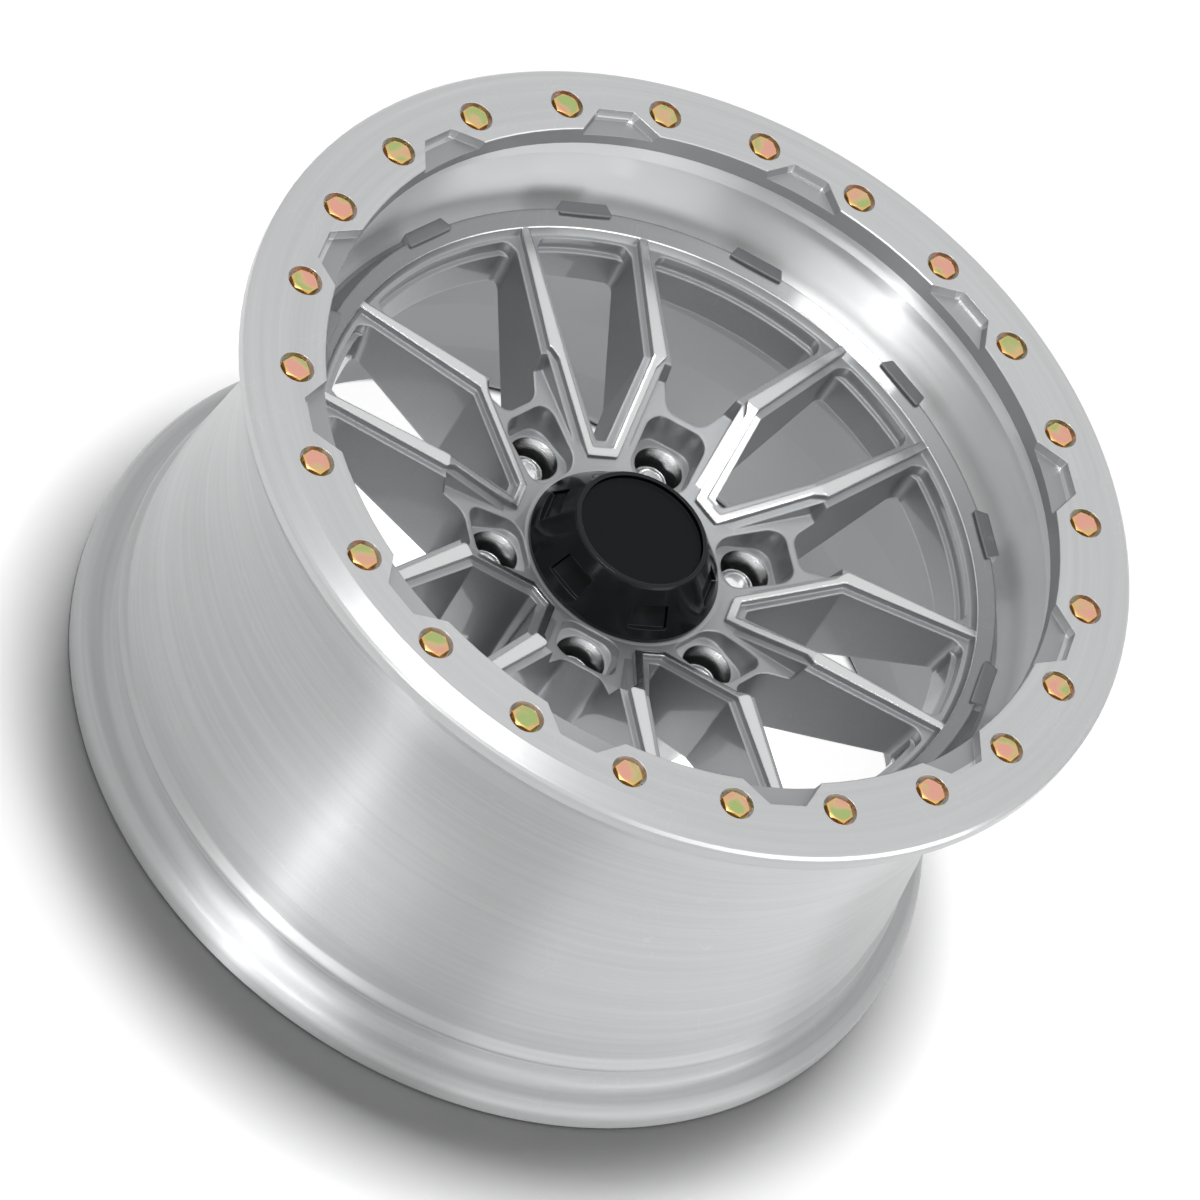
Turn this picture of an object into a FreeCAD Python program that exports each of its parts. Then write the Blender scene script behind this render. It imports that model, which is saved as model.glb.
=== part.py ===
import FreeCAD, Part
import math
import os
import Sketcher
from FreeCAD import Placement, Rotation, Vector

os.makedirs("parts", exist_ok=True)
doc = FreeCAD.newDocument("BeadlockWheel")

# Driving sizes, in millimetres and degrees. A setback is measured back from the ring's front face.
sheet = doc.addObject("Spreadsheet::Sheet", "Sizes")
SIZES = [
    ("wheelDepth", 255.5, "rear flange plane to the front face of the ring"),
    ("flangeRadius", 235.7, "rear flange, 17 inch rim"),
    ("flangeThick", 13.5, "rear plane to the tyre side of the flange"),
    ("flangeRound", 7.0, "roundings of the rear flange"),
    ("flangeFlat", 8.0, "width of the flat that the rear flange stands on"),
    ("seatRadius", 218.3, "rear bead seat"),
    ("seatWidth", 16.5, "flange face to the hump"),
    ("humpRise", 1.9, "hump above the bead seat"),
    ("humpWidth", 5.0, "half the hump along the axis"),
    ("rearBarrelRadius", 216.4, "barrel just in front of the hump"),
    ("rearBarrelSetback", 205.0, "where the rear taper ends"),
    ("waistRadius", 208.0, "narrowest place of the barrel"),
    ("waistSetback", 125.0, "where the barrel is narrowest"),
    ("flareRadius", 262.0, "curve of the barrel from its waist to the front lip"),
    ("barrelWall", 6.5, "thickness of the barrel wall"),
    ("lipRadius", 233.6, "front clamping lip, outside"),
    ("lipBore", 199.5, "front clamping lip, inside"),
    ("lipSide", 5.0, "straight side of the front lip"),
    ("lipDepth", 12.5, "depth of the lip's bore"),
    ("channelRadius", 207.0, "polished channel behind the lip"),
    ("channelTaper", 4.0, "how much the channel narrows towards the face"),
    ("channelSetback", 62.0, "where the channel's floor rounding starts"),
    ("channelFloor", 70.0, "setback of the channel's floor"),
    ("ringRadius", 236.3, "beadlock ring, outside"),
    ("ringBore", 195.6, "beadlock ring, inside"),
    ("ringThick", 12.7, "beadlock ring"),
    ("ringBevelWidth", 12.0, "sloped outer zone of the ring face"),
    ("ringBevelDrop", 4.0, "fall of the sloped outer zone"),
    ("ringEdge", 1.0, "broken edges of the ring"),
    ("boltCircle", 211.0, "radius of the ring bolts"),
    ("boltCount", 24.0, "ring bolts"),
    ("boltPhase", 7.5, "angle of the first ring bolt"),
    ("boltShank", 3.95, "radius of the ring bolt's thread"),
    ("boltAcross", 12.7, "ring bolt head across its flats"),
    ("boltHead", 5.4, "ring bolt head height"),
    ("boltReach", 11.5, "thread below the ring"),
    ("boltClear", 0.25, "radial clearance of the shank in the ring"),
    ("counterbore", 8.8, "radius of the bolt pockets in the ring"),
    ("washerRadius", 8.1, "ring bolt washer"),
    ("washerThick", 1.5, "ring bolt washer"),
    ("notchCount", 12.0, "recesses in the ring's inner edge"),
    ("notchDepth", 5.0, "depth of the recesses"),
    ("notchReach", 208.6, "distance of a recess's outer side from the axis"),
    ("notchOuterHalf", 9.6, "half width of a recess at its outer side"),
    ("notchInnerHalf", 20.5, "half width of a recess at the ring's bore"),
    ("faceRadius", 186.0, "outer edge of the spoke ring"),
    ("faceSetback", 53.4, "outer edge of the spoke ring"),
    ("shoulderRadius", 178.0, "where the spoke ring's land ends"),
    ("shoulderSetback", 58.2, "where the spoke ring's land ends"),
    ("tabCount", 12.0, "raised tabs on the spoke ring's edge"),
    ("tabRise", 3.6, "how far a tab stands out"),
    ("tabWidth", 30.0, "length of a tab at its foot"),
    ("tabDepth", 6.0, "height of a tab"),
    ("spokeCount", 6.0, "pairs of spokes"),
    ("elbowRadius", 107.0, "where the spoke tops bend down to the hub"),
    ("elbowSetback", 62.0, "spoke tops at the bend"),
    ("footRadius", 60.0, "where the spoke tops end"),
    ("footSetback", 91.0, "spoke tops at their foot"),
    ("tipAlong", 174.5, "ribbon end, along the pair"),
    ("tipAcross", 33.2, "ribbon end, across the pair"),
    ("tipWidth", 4.4, "ribbon at its outer end"),
    ("elbowAlong", 103.5, "ribbon bend, along the pair"),
    ("elbowAcross", 29.1, "ribbon bend, across the pair"),
    ("elbowWidth", 7.6, "ribbon just outside its bend"),
    ("footAlong", 61.0, "ribbon foot, along the pair"),
    ("footAcross", 5.65, "inner corner of the ribbon foot, across the pair"),
    ("ribbonWidth", 4.0, "ribbon from its bend to its foot"),
    ("jogBack", 3.7, "length of the step where the ribbon narrows at its bend"),
    ("ledgeWidth", 3.8, "ledge beside the ribbon"),
    ("ledgeDrop", 4.0, "ledge below the ribbon"),
    ("sillWidth", 2.4, "second step at the outer end of each window"),
    ("sillSetback", 70.0, "second step at the outer end of each window"),
    ("windowRadius", 171.0, "outer end of the windows"),
    ("windowDraft", 2.0, "taper of the window walls, degrees"),
    ("windowRound", 5.0, "rounded corners of the windows"),
    ("sideWindowFoot", 90.5, "hub end of the windows over the lugs"),
    ("sideWindowHalf", 10.5, "half width of that hub end"),
    ("landSetback", 82.0, "land over the lugs, at the hub end of the window"),
    ("hubSetback", 96.0, "land around the cap"),
    ("hubRadius", 53.0, "radius of the land around the cap"),
    ("backRadius", 166.0, "where the back of the spokes starts"),
    ("backSetback", 87.5, "back of the spokes at their outer end"),
    ("backInnerSetback", 124.5, "back of the spokes at the mounting pad"),
    ("padRadius", 84.0, "mounting pad"),
    ("padSetback", 165.5, "mounting face"),
    ("hubBore", 53.05, "radius of the bore that centres the wheel"),
    ("capBore", 46.5, "radius of the bore that holds the cap"),
    ("capBoreDepth", 15.0, "length of the bore that holds the cap"),
    ("hookBore", 50.0, "radius of the relief for the cap's hooks"),
    ("hookRelief", 9.0, "length of that relief"),
    ("lugCircle", 69.85, "radius of the six lug holes"),
    ("lugBore", 13.2, "radius of the nut wells"),
    ("lugRimSetback", 100.0, "floor of the pocket around each nut well"),
    ("lugSeatSetback", 145.0, "top of the conical seat"),
    ("lugSeatTop", 11.6, "radius at the top of the conical seat"),
    ("lugHole", 7.75, "radius of the stud holes"),
    ("pocketHalf", 15.4, "half width of the pocket around a nut well"),
    ("pocketInner", 53.5, "inner end of that pocket"),
    ("pocketOuter", 86.5, "outer end of that pocket"),
    ("pocketRound", 9.0, "corners of that pocket"),
    ("nutAcross", 19.05, "lug nut across its flats"),
    ("nutLength", 43.0, "lug nut"),
    ("nutFoot", 8.4, "radius at the lower end of the nut's cone"),
    ("nutCollar", 11.3, "radius of the nut's collar"),
    ("nutCollarHeight", 2.5, "height of the nut's collar"),
    ("nutCrown", 5.0, "domed end of the lug nut"),
    ("nutThread", 6.2, "radius of the lug nut's thread"),
    ("nutThreadDepth", 27.0, "depth of the lug nut's thread"),
    ("capBase", 51.0, "radius of the cap's foot"),
    ("capTop", 36.0, "radius of the cap's front rim"),
    ("capHeight", 25.0, "cap above the hub land"),
    ("capRim", 3.0, "width of the cap's front rim"),
    ("capWall", 3.0, "wall of the cap"),
    ("capRecess", 3.2, "depth of the disc's recess"),
    ("capPockets", 6.0, "recesses around the cap"),
    ("capLip", 2.5, "upright foot of the cap"),
    ("capEdge", 1.0, "broken edges of the cap"),
    ("capPocketDepth", 3.2, "depth of the recesses around the cap"),
    ("capPocketLength", 13.0, "recesses around the cap, up the cone"),
    ("capPocketTop", 19.0, "width of those recesses at their top"),
    ("capPocketFoot", 22.0, "width of those recesses at their foot"),
    ("capPocketPlace", 0.45, "their middle, as a share of the way up the cone"),
    ("legCount", 6.0, "snap legs of the cap"),
    ("legLength", 21.0, "snap legs of the cap"),
    ("legThick", 2.6, "snap legs of the cap"),
    ("legGap", 0.4, "clearance of the legs in the cap bore"),
    ("legWidth", 16.0, "snap legs of the cap"),
    ("legHook", 1.6, "hook at the end of each leg"),
    ("clipWire", 1.1, "radius of the spring ring's wire"),
    ("discThick", 1.4, "disc in the cap"),
    ("discGap", 0.2, "clearance around the disc"),
    ("valveRadius", 5.75, "valve hole"),
    ("valveSetback", 46.0, "valve hole"),
    ("valveAngle", 126.0, "valve hole"),
    ("valveSeat", 10.0, "flat around the valve hole"),
]
for row, (alias, value, note) in enumerate(SIZES, start=1):
    sheet.set(f"A{row}", alias)
    sheet.set(f"B{row}", str(value))
    sheet.set(f"C{row}", note)
    sheet.setAlias(f"B{row}", alias)
doc.recompute()


def size(alias):
    return float(sheet.get(alias))


def bound(text):
    """An expression over the sheet's aliases, with each alias written as Sizes.alias."""
    for alias in sorted((name for name, _, _ in SIZES), key=len, reverse=True):
        text = text.replace(f"[{alias}]", f"Sizes.{alias}")
    return text


def value_of(text):
    result = sheet.evalExpression(bound(text))
    return float(getattr(result, "Value", result))


def arc_edge(start, end, radius):
    """The shorter arc between two points of a sketch; a negative radius bulges to the right of the way."""
    chord = end - start
    middle = (start + end) * 0.5
    side = Vector(-chord.y, chord.x, 0).normalize()
    half = chord.Length / 2
    sagitta = abs(radius) - math.sqrt(radius * radius - half * half)
    top = middle + side * math.copysign(sagitta, radius)
    return Part.Arc(start, top, end)


def draw_profile(sketch, corners):
    """Draws a closed outline whose corners and arc radii are bound to the sheet.
    A corner is (x, y) or (x, y, radius of the arc that leaves it)."""
    places = [Vector(value_of(corner[0]), value_of(corner[1]), 0) for corner in corners]
    count = len(corners)
    edges = []
    first_point = []
    for number, corner in enumerate(corners):
        start = places[number]
        end = places[(number + 1) % count]
        if len(corner) == 3:
            radius = value_of(corner[2])
            edges.append(arc_edge(start, end, radius))
            # An arc runs anticlockwise in a sketch, so its first point may be the outline's second
            first_point.append(1 if radius < 0 else 2)
        else:
            edges.append(Part.LineSegment(start, end))
            first_point.append(1)
    rules = []
    formulas = []
    for number, corner in enumerate(corners):
        following = (number + 1) % count
        rules.append(Sketcher.Constraint("Coincident", number, 3 - first_point[number],
                                         following, first_point[following]))
        formulas.append(None)
        for kind, text in (("DistanceX", corner[0]), ("DistanceY", corner[1])):
            rules.append(Sketcher.Constraint(kind, -1, 1, number, first_point[number], value_of(text)))
            formulas.append(bound(text))
        if len(corner) == 3:
            rules.append(Sketcher.Constraint("Radius", number, abs(value_of(corner[2]))))
            formulas.append(f"abs({bound(corner[2])})")
    sketch.addGeometry(edges, False)
    sketch.addConstraint(rules)
    for index, formula in enumerate(formulas):
        if formula:
            sketch.setExpression(f"Constraints[{index}]", formula)


UPRIGHT = Placement(Vector(0, 0, 0), Rotation(Vector(1, 0, 0), 90))


def turned(name, corners):
    """A solid of revolution about the wheel's axis; corners are (radius, height)."""
    sketch = doc.addObject("Sketcher::SketchObject", name + "Section")
    sketch.Placement = UPRIGHT
    draw_profile(sketch, corners)
    solid = doc.addObject("Part::Revolution", name)
    solid.Source = sketch
    solid.Axis = Vector(0, 0, 1)
    solid.Angle = 360
    solid.Solid = True
    return solid


def height(setback):
    return size("wheelDepth") - setback


# Plan outlines, as lists of (x, y) going anticlockwise
def line_crossing(first, second):
    """Where two lines meet, each given as (point, direction)."""
    (p, d), (q, e) = first, second
    cross = d.x * e.y - d.y * e.x
    along = ((q.x - p.x) * e.y - (q.y - p.y) * e.x) / cross
    return p + d * along


def inset(points, distance):
    """Moves every side of an anticlockwise outline inwards."""
    sides = []
    for number, start in enumerate(points):
        end = points[(number + 1) % len(points)]
        way = (end - start).normalize()
        sides.append((start + Vector(-way.y, way.x, 0) * distance, way))
    return [line_crossing(sides[number - 1], sides[number]) for number in range(len(points))]


def rounded_wire(points, radius, level):
    """A closed wire at a height, with each corner rounded as far as its sides allow."""
    edges = []
    stops = []
    for number, corner in enumerate(points):
        before = (points[number - 1] - corner)
        after = (points[(number + 1) % len(points)] - corner)
        half_angle = before.getAngle(after) / 2
        reach = min(radius / math.tan(half_angle), 0.42 * before.Length, 0.42 * after.Length)
        actual = reach * math.tan(half_angle)
        before.normalize()
        after.normalize()
        inward = (before + after).normalize()
        middle = corner + inward * (actual / math.sin(half_angle) - actual)
        stops.append((corner + before * reach, middle, corner + after * reach))
    for number, (arrive, middle, leave) in enumerate(stops):
        lift = Vector(0, 0, level)
        edges.append(Part.Arc(arrive + lift, middle + lift, leave + lift).toShape())
        following = stops[(number + 1) % len(stops)][0]
        edges.append(Part.LineSegment(leave + lift, following + lift).toShape())
    return Part.Wire(edges)


def drafted_prism(points, radius, low, high, draft, neutral):
    """A prism between two heights whose sides lean in downwards, true to size at the neutral height."""
    slope = math.tan(math.radians(draft))
    wires = [rounded_wire(inset(points, (neutral - level) * slope), radius, level) for level in (low, high)]
    return Part.makeLoft(wires, True, True)


def straight_prism(points, radius, low, high):
    face = Part.Face(rounded_wire(points, radius, low))
    return face.extrude(Vector(0, 0, high - low))


def across(point):
    """The mirror image of a point across the x axis."""
    return Vector(point.x, -point.y, 0)


def mirrored(half):
    """Closes the lower half of an anticlockwise outline with its mirror image across the x axis."""
    return half + [across(point) for point in reversed(half)]


def around(shape, count, phase=0.0):
    """Copies of a shape about the wheel's axis."""
    copies = []
    for number in range(int(count)):
        copy = shape.copy()
        copy.rotate(Vector(0, 0, 0), Vector(0, 0, 1), phase + 360.0 * number / count)
        copies.append(copy)
    return copies


def feature(name, shape):
    part = doc.addObject("Part::Feature", name)
    part.Shape = shape
    return part


# Casting: the barrel, the spoke ring and the hub are one turned section
def flare(setback):
    reach = f"([waistSetback] - ({setback}))"
    return f"[waistRadius] + [flareRadius] - sqrt([flareRadius] ^ 2 - {reach} ^ 2)"


# The rear taper leaves the flare's arc as a tangent, so the barrel has no edge at its waist
TAPER_BACK = "([rearBarrelSetback] - [waistSetback])"
TAPER_IN = "([waistRadius] + [flareRadius] - [rearBarrelRadius])"
TAPER_REACH = f"sqrt({TAPER_BACK} ^ 2 + {TAPER_IN} ^ 2)"
TAPER = f"(atan({TAPER_BACK} / {TAPER_IN}) - acos([flareRadius] / {TAPER_REACH}))"
TAPER_RADIUS = f"[waistRadius] + [flareRadius] * (1 - cos({TAPER}))"
TAPER_HEIGHT = f"[wheelDepth] - [waistSetback] - [flareRadius] * sin({TAPER})"

CHANNEL_ROUND = "([channelFloor] - [channelSetback]) * 1.1"
LIP_BACK = "[ringThick] + [lipSide]"
DISC_JOINT = "[backSetback] + 12"
LAND_SLOPE = "([hubSetback] - [landSetback]) / ([sideWindowFoot] - [hubRadius])"
LAND_END = "([elbowRadius] - 3)"

wheel_turning = turned("WheelTurning", [
    ("[lipBore]", "[wheelDepth] - [ringThick]"),
    ("[lipBore]", "[wheelDepth] - [ringThick] - [lipDepth]"),
    ("[channelRadius]", "[wheelDepth] - [ringThick] - [lipDepth] - 1.5"),
    ("[channelRadius] - [channelTaper]", "[wheelDepth] - [channelSetback]", CHANNEL_ROUND),
    ("[faceRadius] + 6", "[wheelDepth] - [channelFloor]"),
    ("[faceRadius] + 1", "[wheelDepth] - [channelFloor] + 4"),
    ("[faceRadius]", "[wheelDepth] - [faceSetback] - 0.8"),
    ("[faceRadius] - 0.8", "[wheelDepth] - [faceSetback]"),
    ("[shoulderRadius]", "[wheelDepth] - [shoulderSetback]"),
    ("[shoulderRadius] - 2.5", "[wheelDepth] - [shoulderSetback] - [ledgeDrop]"),
    ("[elbowRadius]", "[wheelDepth] - [elbowSetback] - [ledgeDrop]"),
    (LAND_END, f"[wheelDepth] - [hubSetback] + ({LAND_END} - [hubRadius]) * {LAND_SLOPE}"),
    ("[hubRadius]", "[wheelDepth] - [hubSetback]"),
    ("[capBore]", "[wheelDepth] - [hubSetback]"),
    ("[capBore]", "[wheelDepth] - [hubSetback] - [capBoreDepth]"),
    ("[hookBore]", "[wheelDepth] - [hubSetback] - [capBoreDepth]"),
    ("[hookBore]", "[wheelDepth] - [hubSetback] - [capBoreDepth] - [hookRelief]"),
    ("[hubBore]", "[wheelDepth] - [hubSetback] - [capBoreDepth] - [hookRelief]"),
    ("[hubBore]", "[wheelDepth] - [padSetback]"),
    ("[padRadius]", "[wheelDepth] - [padSetback]"),
    ("[padRadius] + 3", "[wheelDepth] - [backInnerSetback]"),
    ("[backRadius]", "[wheelDepth] - [backSetback]"),
    ("[channelRadius] - [channelTaper] - 10", "[wheelDepth] - [backSetback] - 2"),
    (f"{flare(DISC_JOINT)} - [barrelWall]", f"[wheelDepth] - ({DISC_JOINT})"),
    ("[waistRadius] - [barrelWall]", "[wheelDepth] - [waistSetback]"),
    (f"{TAPER_RADIUS} - [barrelWall]", TAPER_HEIGHT),
    ("[rearBarrelRadius] - [barrelWall]", "[wheelDepth] - [rearBarrelSetback]"),
    ("[rearBarrelRadius] - [barrelWall]", "[flangeThick] + [flangeFlat]"),
    ("[flangeRadius] - [flangeFlat]", "0"),
    ("[flangeRadius] - 1.2", "0"),
    ("[flangeRadius]", "1.2"),
    ("[flangeRadius]", "[flangeThick] - [flangeRound]", "-[flangeRound]"),
    ("[flangeRadius] - [flangeRound]", "[flangeThick]"),
    ("[seatRadius] + [flangeRound]", "[flangeThick]", "[flangeRound]"),
    ("[seatRadius]", "[flangeThick] + [flangeRound]"),
    ("[seatRadius]", "[flangeThick] + [seatWidth] - [humpWidth]"),
    ("[seatRadius] + [humpRise]", "[flangeThick] + [seatWidth] - 1"),
    ("[seatRadius] + [humpRise]", "[flangeThick] + [seatWidth] + 1"),
    ("[rearBarrelRadius]", "[flangeThick] + [seatWidth] + [humpWidth]"),
    ("[rearBarrelRadius]", "[wheelDepth] - [rearBarrelSetback]"),
    (TAPER_RADIUS, TAPER_HEIGHT, "[flareRadius]"),
    (flare(f"{LIP_BACK} + 2.2"), f"[wheelDepth] - ({LIP_BACK}) - 2.2"),
    ("[lipRadius]", f"[wheelDepth] - ({LIP_BACK})"),
    ("[lipRadius]", "[wheelDepth] - [ringThick]"),
])

# The ledges and the ribbons follow two cones, one above the other
LEDGE_TOP = "[wheelDepth] - [footSetback] - [ledgeDrop]"
ledge_turning = turned("LedgeTurning", [
    ("[hubRadius] + 0.5", "[wheelDepth] - [hubSetback] - 6"),
    ("[elbowRadius] + 4", "[wheelDepth] - [hubSetback] - 6"),
    ("[elbowRadius] + 4", "[wheelDepth] - [elbowSetback] - [ledgeDrop] - 0.5"),
    ("[elbowRadius]", "[wheelDepth] - [elbowSetback] - [ledgeDrop]"),
    ("[footRadius]", LEDGE_TOP),
    ("[hubRadius] + 0.5", LEDGE_TOP),
])
ribbon_turning = turned("RibbonTurning", [
    ("[hubRadius] + 0.5", "[wheelDepth] - [footSetback] - 2 * [ledgeDrop]"),
    ("[footRadius]", "[wheelDepth] - [footSetback] - 2 * [ledgeDrop]"),
    ("[elbowRadius]", "[wheelDepth] - [elbowSetback] - 2 * [ledgeDrop]"),
    ("[shoulderRadius]", "[wheelDepth] - [shoulderSetback] - 2 * [ledgeDrop]"),
    ("[shoulderRadius]", "[wheelDepth] - [shoulderSetback]"),
    ("[elbowRadius]", "[wheelDepth] - [elbowSetback]"),
    ("[footRadius]", "[wheelDepth] - [footSetback]"),
    ("[hubRadius] + 0.5", "[wheelDepth] - [footSetback]"),
])
doc.recompute()


def ribbon_corners():
    """One side of a pair of spokes: the ribbon's edges, from tip to foot, as named points."""
    tip = Vector(size("tipAlong"), size("tipAcross"), 0)
    elbow = Vector(size("elbowAlong"), size("elbowAcross"), 0)
    way = (tip - elbow).normalize()
    side = Vector(-way.y, way.x, 0)
    half = size("elbowWidth") / 2
    places = {
        "tip_out": tip + side * (size("tipWidth") / 2),
        "tip_in": tip - side * (size("tipWidth") / 2),
        "elbow_out": elbow + side * half,
        "elbow_in": elbow - side * half,
        "foot_in": Vector(size("footAlong") + size("ribbonWidth") / 2, size("footAcross"), 0),
    }
    run = (places["foot_in"] - places["elbow_in"]).normalize()
    out = Vector(run.y, -run.x, 0)
    edge = (places["foot_in"] + out * size("ribbonWidth"), run)
    bottom = Vector(size("footAlong") - size("ribbonWidth") / 2, 0, 0)
    places["foot_out"] = line_crossing(edge, (bottom, Vector(0, 1, 0)))
    places["jog"] = places["elbow_in"] + out * size("ribbonWidth") + run * size("jogBack")
    return places


ribbon = ribbon_corners()
half_step = 180.0 / size("spokeCount")
down_slope = math.tan(math.radians(size("windowDraft")))
ledge_level = height(size("elbowSetback") + size("ledgeDrop"))
above = height(size("faceSetback") - 6)
below = height(size("padSetback") + 4)

# Ribbons: the raised, machined tops of one pair of spokes
pair_corners = ("foot_out", "jog", "elbow_out", "tip_out", "tip_in", "elbow_in", "foot_in")
pair_outline = mirrored([across(ribbon[name]) for name in pair_corners])
ribbon_prism = straight_prism(pair_outline, 1.2, below, above)
ribbons = feature("Ribbons", ribbon_prism.common(ribbon_turning.Shape))
ribbon_copies = feature("RibbonCopies", Part.makeCompound(around(ribbons.Shape, size("spokeCount"), half_step)))

# Feet: the ledge around the inner half of each pair, down to the land over the lugs
foot_run = ribbon["jog"] - ribbon["foot_out"]
foot_side = [ribbon["foot_out"], ribbon["jog"] + foot_run * 0.25]
foot_outline = mirrored([across(point) for point in foot_side])
foot_prism = straight_prism(inset(foot_outline, -size("ledgeWidth")), 2.5, below, above)
feet = feature("Feet", foot_prism.common(ledge_turning.Shape))
foot_copies = feature("FootCopies", Part.makeCompound(around(feet.Shape, size("spokeCount"), half_step)))

# Tabs on the outer edge of the spoke ring
tab_half = size("tabWidth") / 2
tab_outer = size("faceRadius") + size("tabRise")
tab_side = [Vector(size("faceRadius") - 4, -tab_half, 0), Vector(tab_outer, -tab_half + size("tabRise") * 0.6, 0)]
tab_top = height(size("faceSetback") - 1)
tab = straight_prism(mirrored(tab_side), 1.0, tab_top - size("tabDepth"), tab_top)
tabs = feature("Tabs", Part.makeCompound(around(tab, size("tabCount"))))

# Windows inside each pair, and over each lug hole
past_tip = ribbon["elbow_in"] + (ribbon["tip_in"] - ribbon["elbow_in"]) * 1.4
inner_outline = mirrored([across(point) for point in (ribbon["foot_in"], ribbon["elbow_in"], past_tip)])
inner_outline = inset(inner_outline, size("ledgeWidth"))


def to_lug_frame(point):
    """Turns a point of a pair's clockwise-side spoke into the frame of the lug hole beside it."""
    turn = math.pi / size("spokeCount")
    x = point.x * math.cos(turn) + point.y * math.sin(turn)
    y = point.y * math.cos(turn) - point.x * math.sin(turn)
    return Vector(x, y, 0)


wall_way = (ribbon["tip_out"] - ribbon["elbow_out"]).normalize()
wall_shift = Vector(-wall_way.y, wall_way.x, 0) * size("ledgeWidth")
near_wall = to_lug_frame(ribbon["elbow_out"] + wall_shift)
far_wall = to_lug_frame(ribbon["elbow_out"] + wall_shift + wall_way * size("tipAlong") * 0.6)
lug_foot = Vector(size("sideWindowFoot"), -size("sideWindowHalf"), 0)
side_outline = mirrored([lug_foot, near_wall, far_wall])


def window_tool(outline, foot_round):
    """The through cut of one window with the shallow second step at its outer end."""
    hole = drafted_prism(outline, foot_round, below, above, size("windowDraft"), ledge_level)
    reach = size("windowRadius")
    depth = above - below
    end_slope = 4 * down_slope
    end = Part.makeCone(reach - (ledge_level - below) * end_slope, reach + (above - ledge_level) * end_slope, depth,
                        Vector(0, 0, below))
    hole = hole.common(end)
    corners = [edge for edge in hole.Edges if is_end_corner(edge, reach)]
    hole = hole.makeFillet(size("windowRound"), corners)
    sill_low = height(size("sillSetback"))
    sill = straight_prism(inset(outline, 1.2), foot_round, sill_low, above)
    sill = sill.common(Part.makeCylinder(reach + size("sillWidth"), depth, Vector(0, 0, sill_low)))
    sill_corners = [edge for edge in sill.Edges if is_end_corner(edge, reach + size("sillWidth"))]
    return hole.fuse(sill.makeFillet(size("windowRound"), sill_corners))


def is_end_corner(edge, reach):
    """True for a steep edge that lies near the window's outer end."""
    first = edge.Vertexes[0].Point
    last = edge.Vertexes[-1].Point
    steep = abs(first.z - last.z) > 3
    return steep and min(math.hypot(p.x, p.y) for p in (first, last)) > reach * 0.85


inner_window = window_tool(inner_outline, 2.0)
side_window = window_tool(side_outline, size("sideWindowHalf") * 0.8)
pair_windows = feature("PairWindows", Part.makeCompound(around(inner_window, size("spokeCount"), half_step)))
lug_windows = feature("LugWindows", Part.makeCompound(around(side_window, size("spokeCount"))))

# Lug holes: a rounded pocket, a well for the nut, a conical seat and the stud hole
pocket_half = [Vector(size(end), -size("pocketHalf"), 0) for end in ("pocketInner", "pocketOuter")]
rim_level = height(size("lugRimSetback"))
pocket = drafted_prism(mirrored(pocket_half), size("pocketRound"), rim_level, above, 6.0, height(size("hubSetback")))
seat_level = height(size("lugSeatSetback"))
seat_drop = (size("lugSeatTop") - size("lugHole")) / math.tan(math.radians(30))
lug_place = Vector(size("lugCircle"), 0, 0)
well = Part.makeCylinder(size("lugBore"), above - seat_level, lug_place + Vector(0, 0, seat_level))
seat = Part.makeCone(size("lugHole"), size("lugSeatTop"), seat_drop, lug_place + Vector(0, 0, seat_level - seat_drop))
stud_hole = Part.makeCylinder(size("lugHole"), seat_level - below, lug_place + Vector(0, 0, below))
lug_tool = pocket.fuse([well, seat, stud_hole])
lug_pockets = feature("LugPockets", Part.makeCompound(around(lug_tool, size("spokeCount"))))

# Valve hole through the flare, with a flat seat on both sides of the wall
valve_wall = size("channelRadius") - size("channelTaper") / 2
valve_hole = Part.makeCylinder(size("valveRadius"), 60, Vector(valve_wall - 20, 0, 0), Vector(1, 0, 0))
valve_flat = Part.makeCylinder(size("valveSeat"), 30, Vector(valve_wall + 11, 0, 0), Vector(1, 0, 0))
valve_tool = valve_hole.fuse(valve_flat)
valve_tool.translate(Vector(0, 0, height(size("valveSetback"))))
valve_tool.rotate(Vector(0, 0, 0), Vector(0, 0, 1), size("valveAngle"))
valve = feature("ValveHole", valve_tool)

# Tapped holes for the ring bolts
thread_depth = size("boltReach") + 1.0
tapped = Part.makeCylinder(size("boltShank") + 0.05, thread_depth,
                           Vector(size("boltCircle"), 0, height(size("ringThick")) - thread_depth))
tapped_holes = feature("TappedHoles", Part.makeCompound(around(tapped, size("boltCount"), size("boltPhase"))))

raised = doc.addObject("Part::MultiFuse", "RaisedCasting")
raised.Shapes = [wheel_turning, foot_copies, ribbon_copies, tabs]


def cut_in_turn(label, base, tools):
    """Cuts one tool after another; the last result carries the sub-part's label."""
    for tool in tools:
        result = doc.addObject("Part::Cut", f"{label}_less_{tool.Name}")
        result.Base = base
        result.Tool = tool
        base = result
    base.Label = label
    return base


casting = cut_in_turn("wheel_casting", raised, [pair_windows, lug_windows, lug_pockets, valve, tapped_holes])

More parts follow.
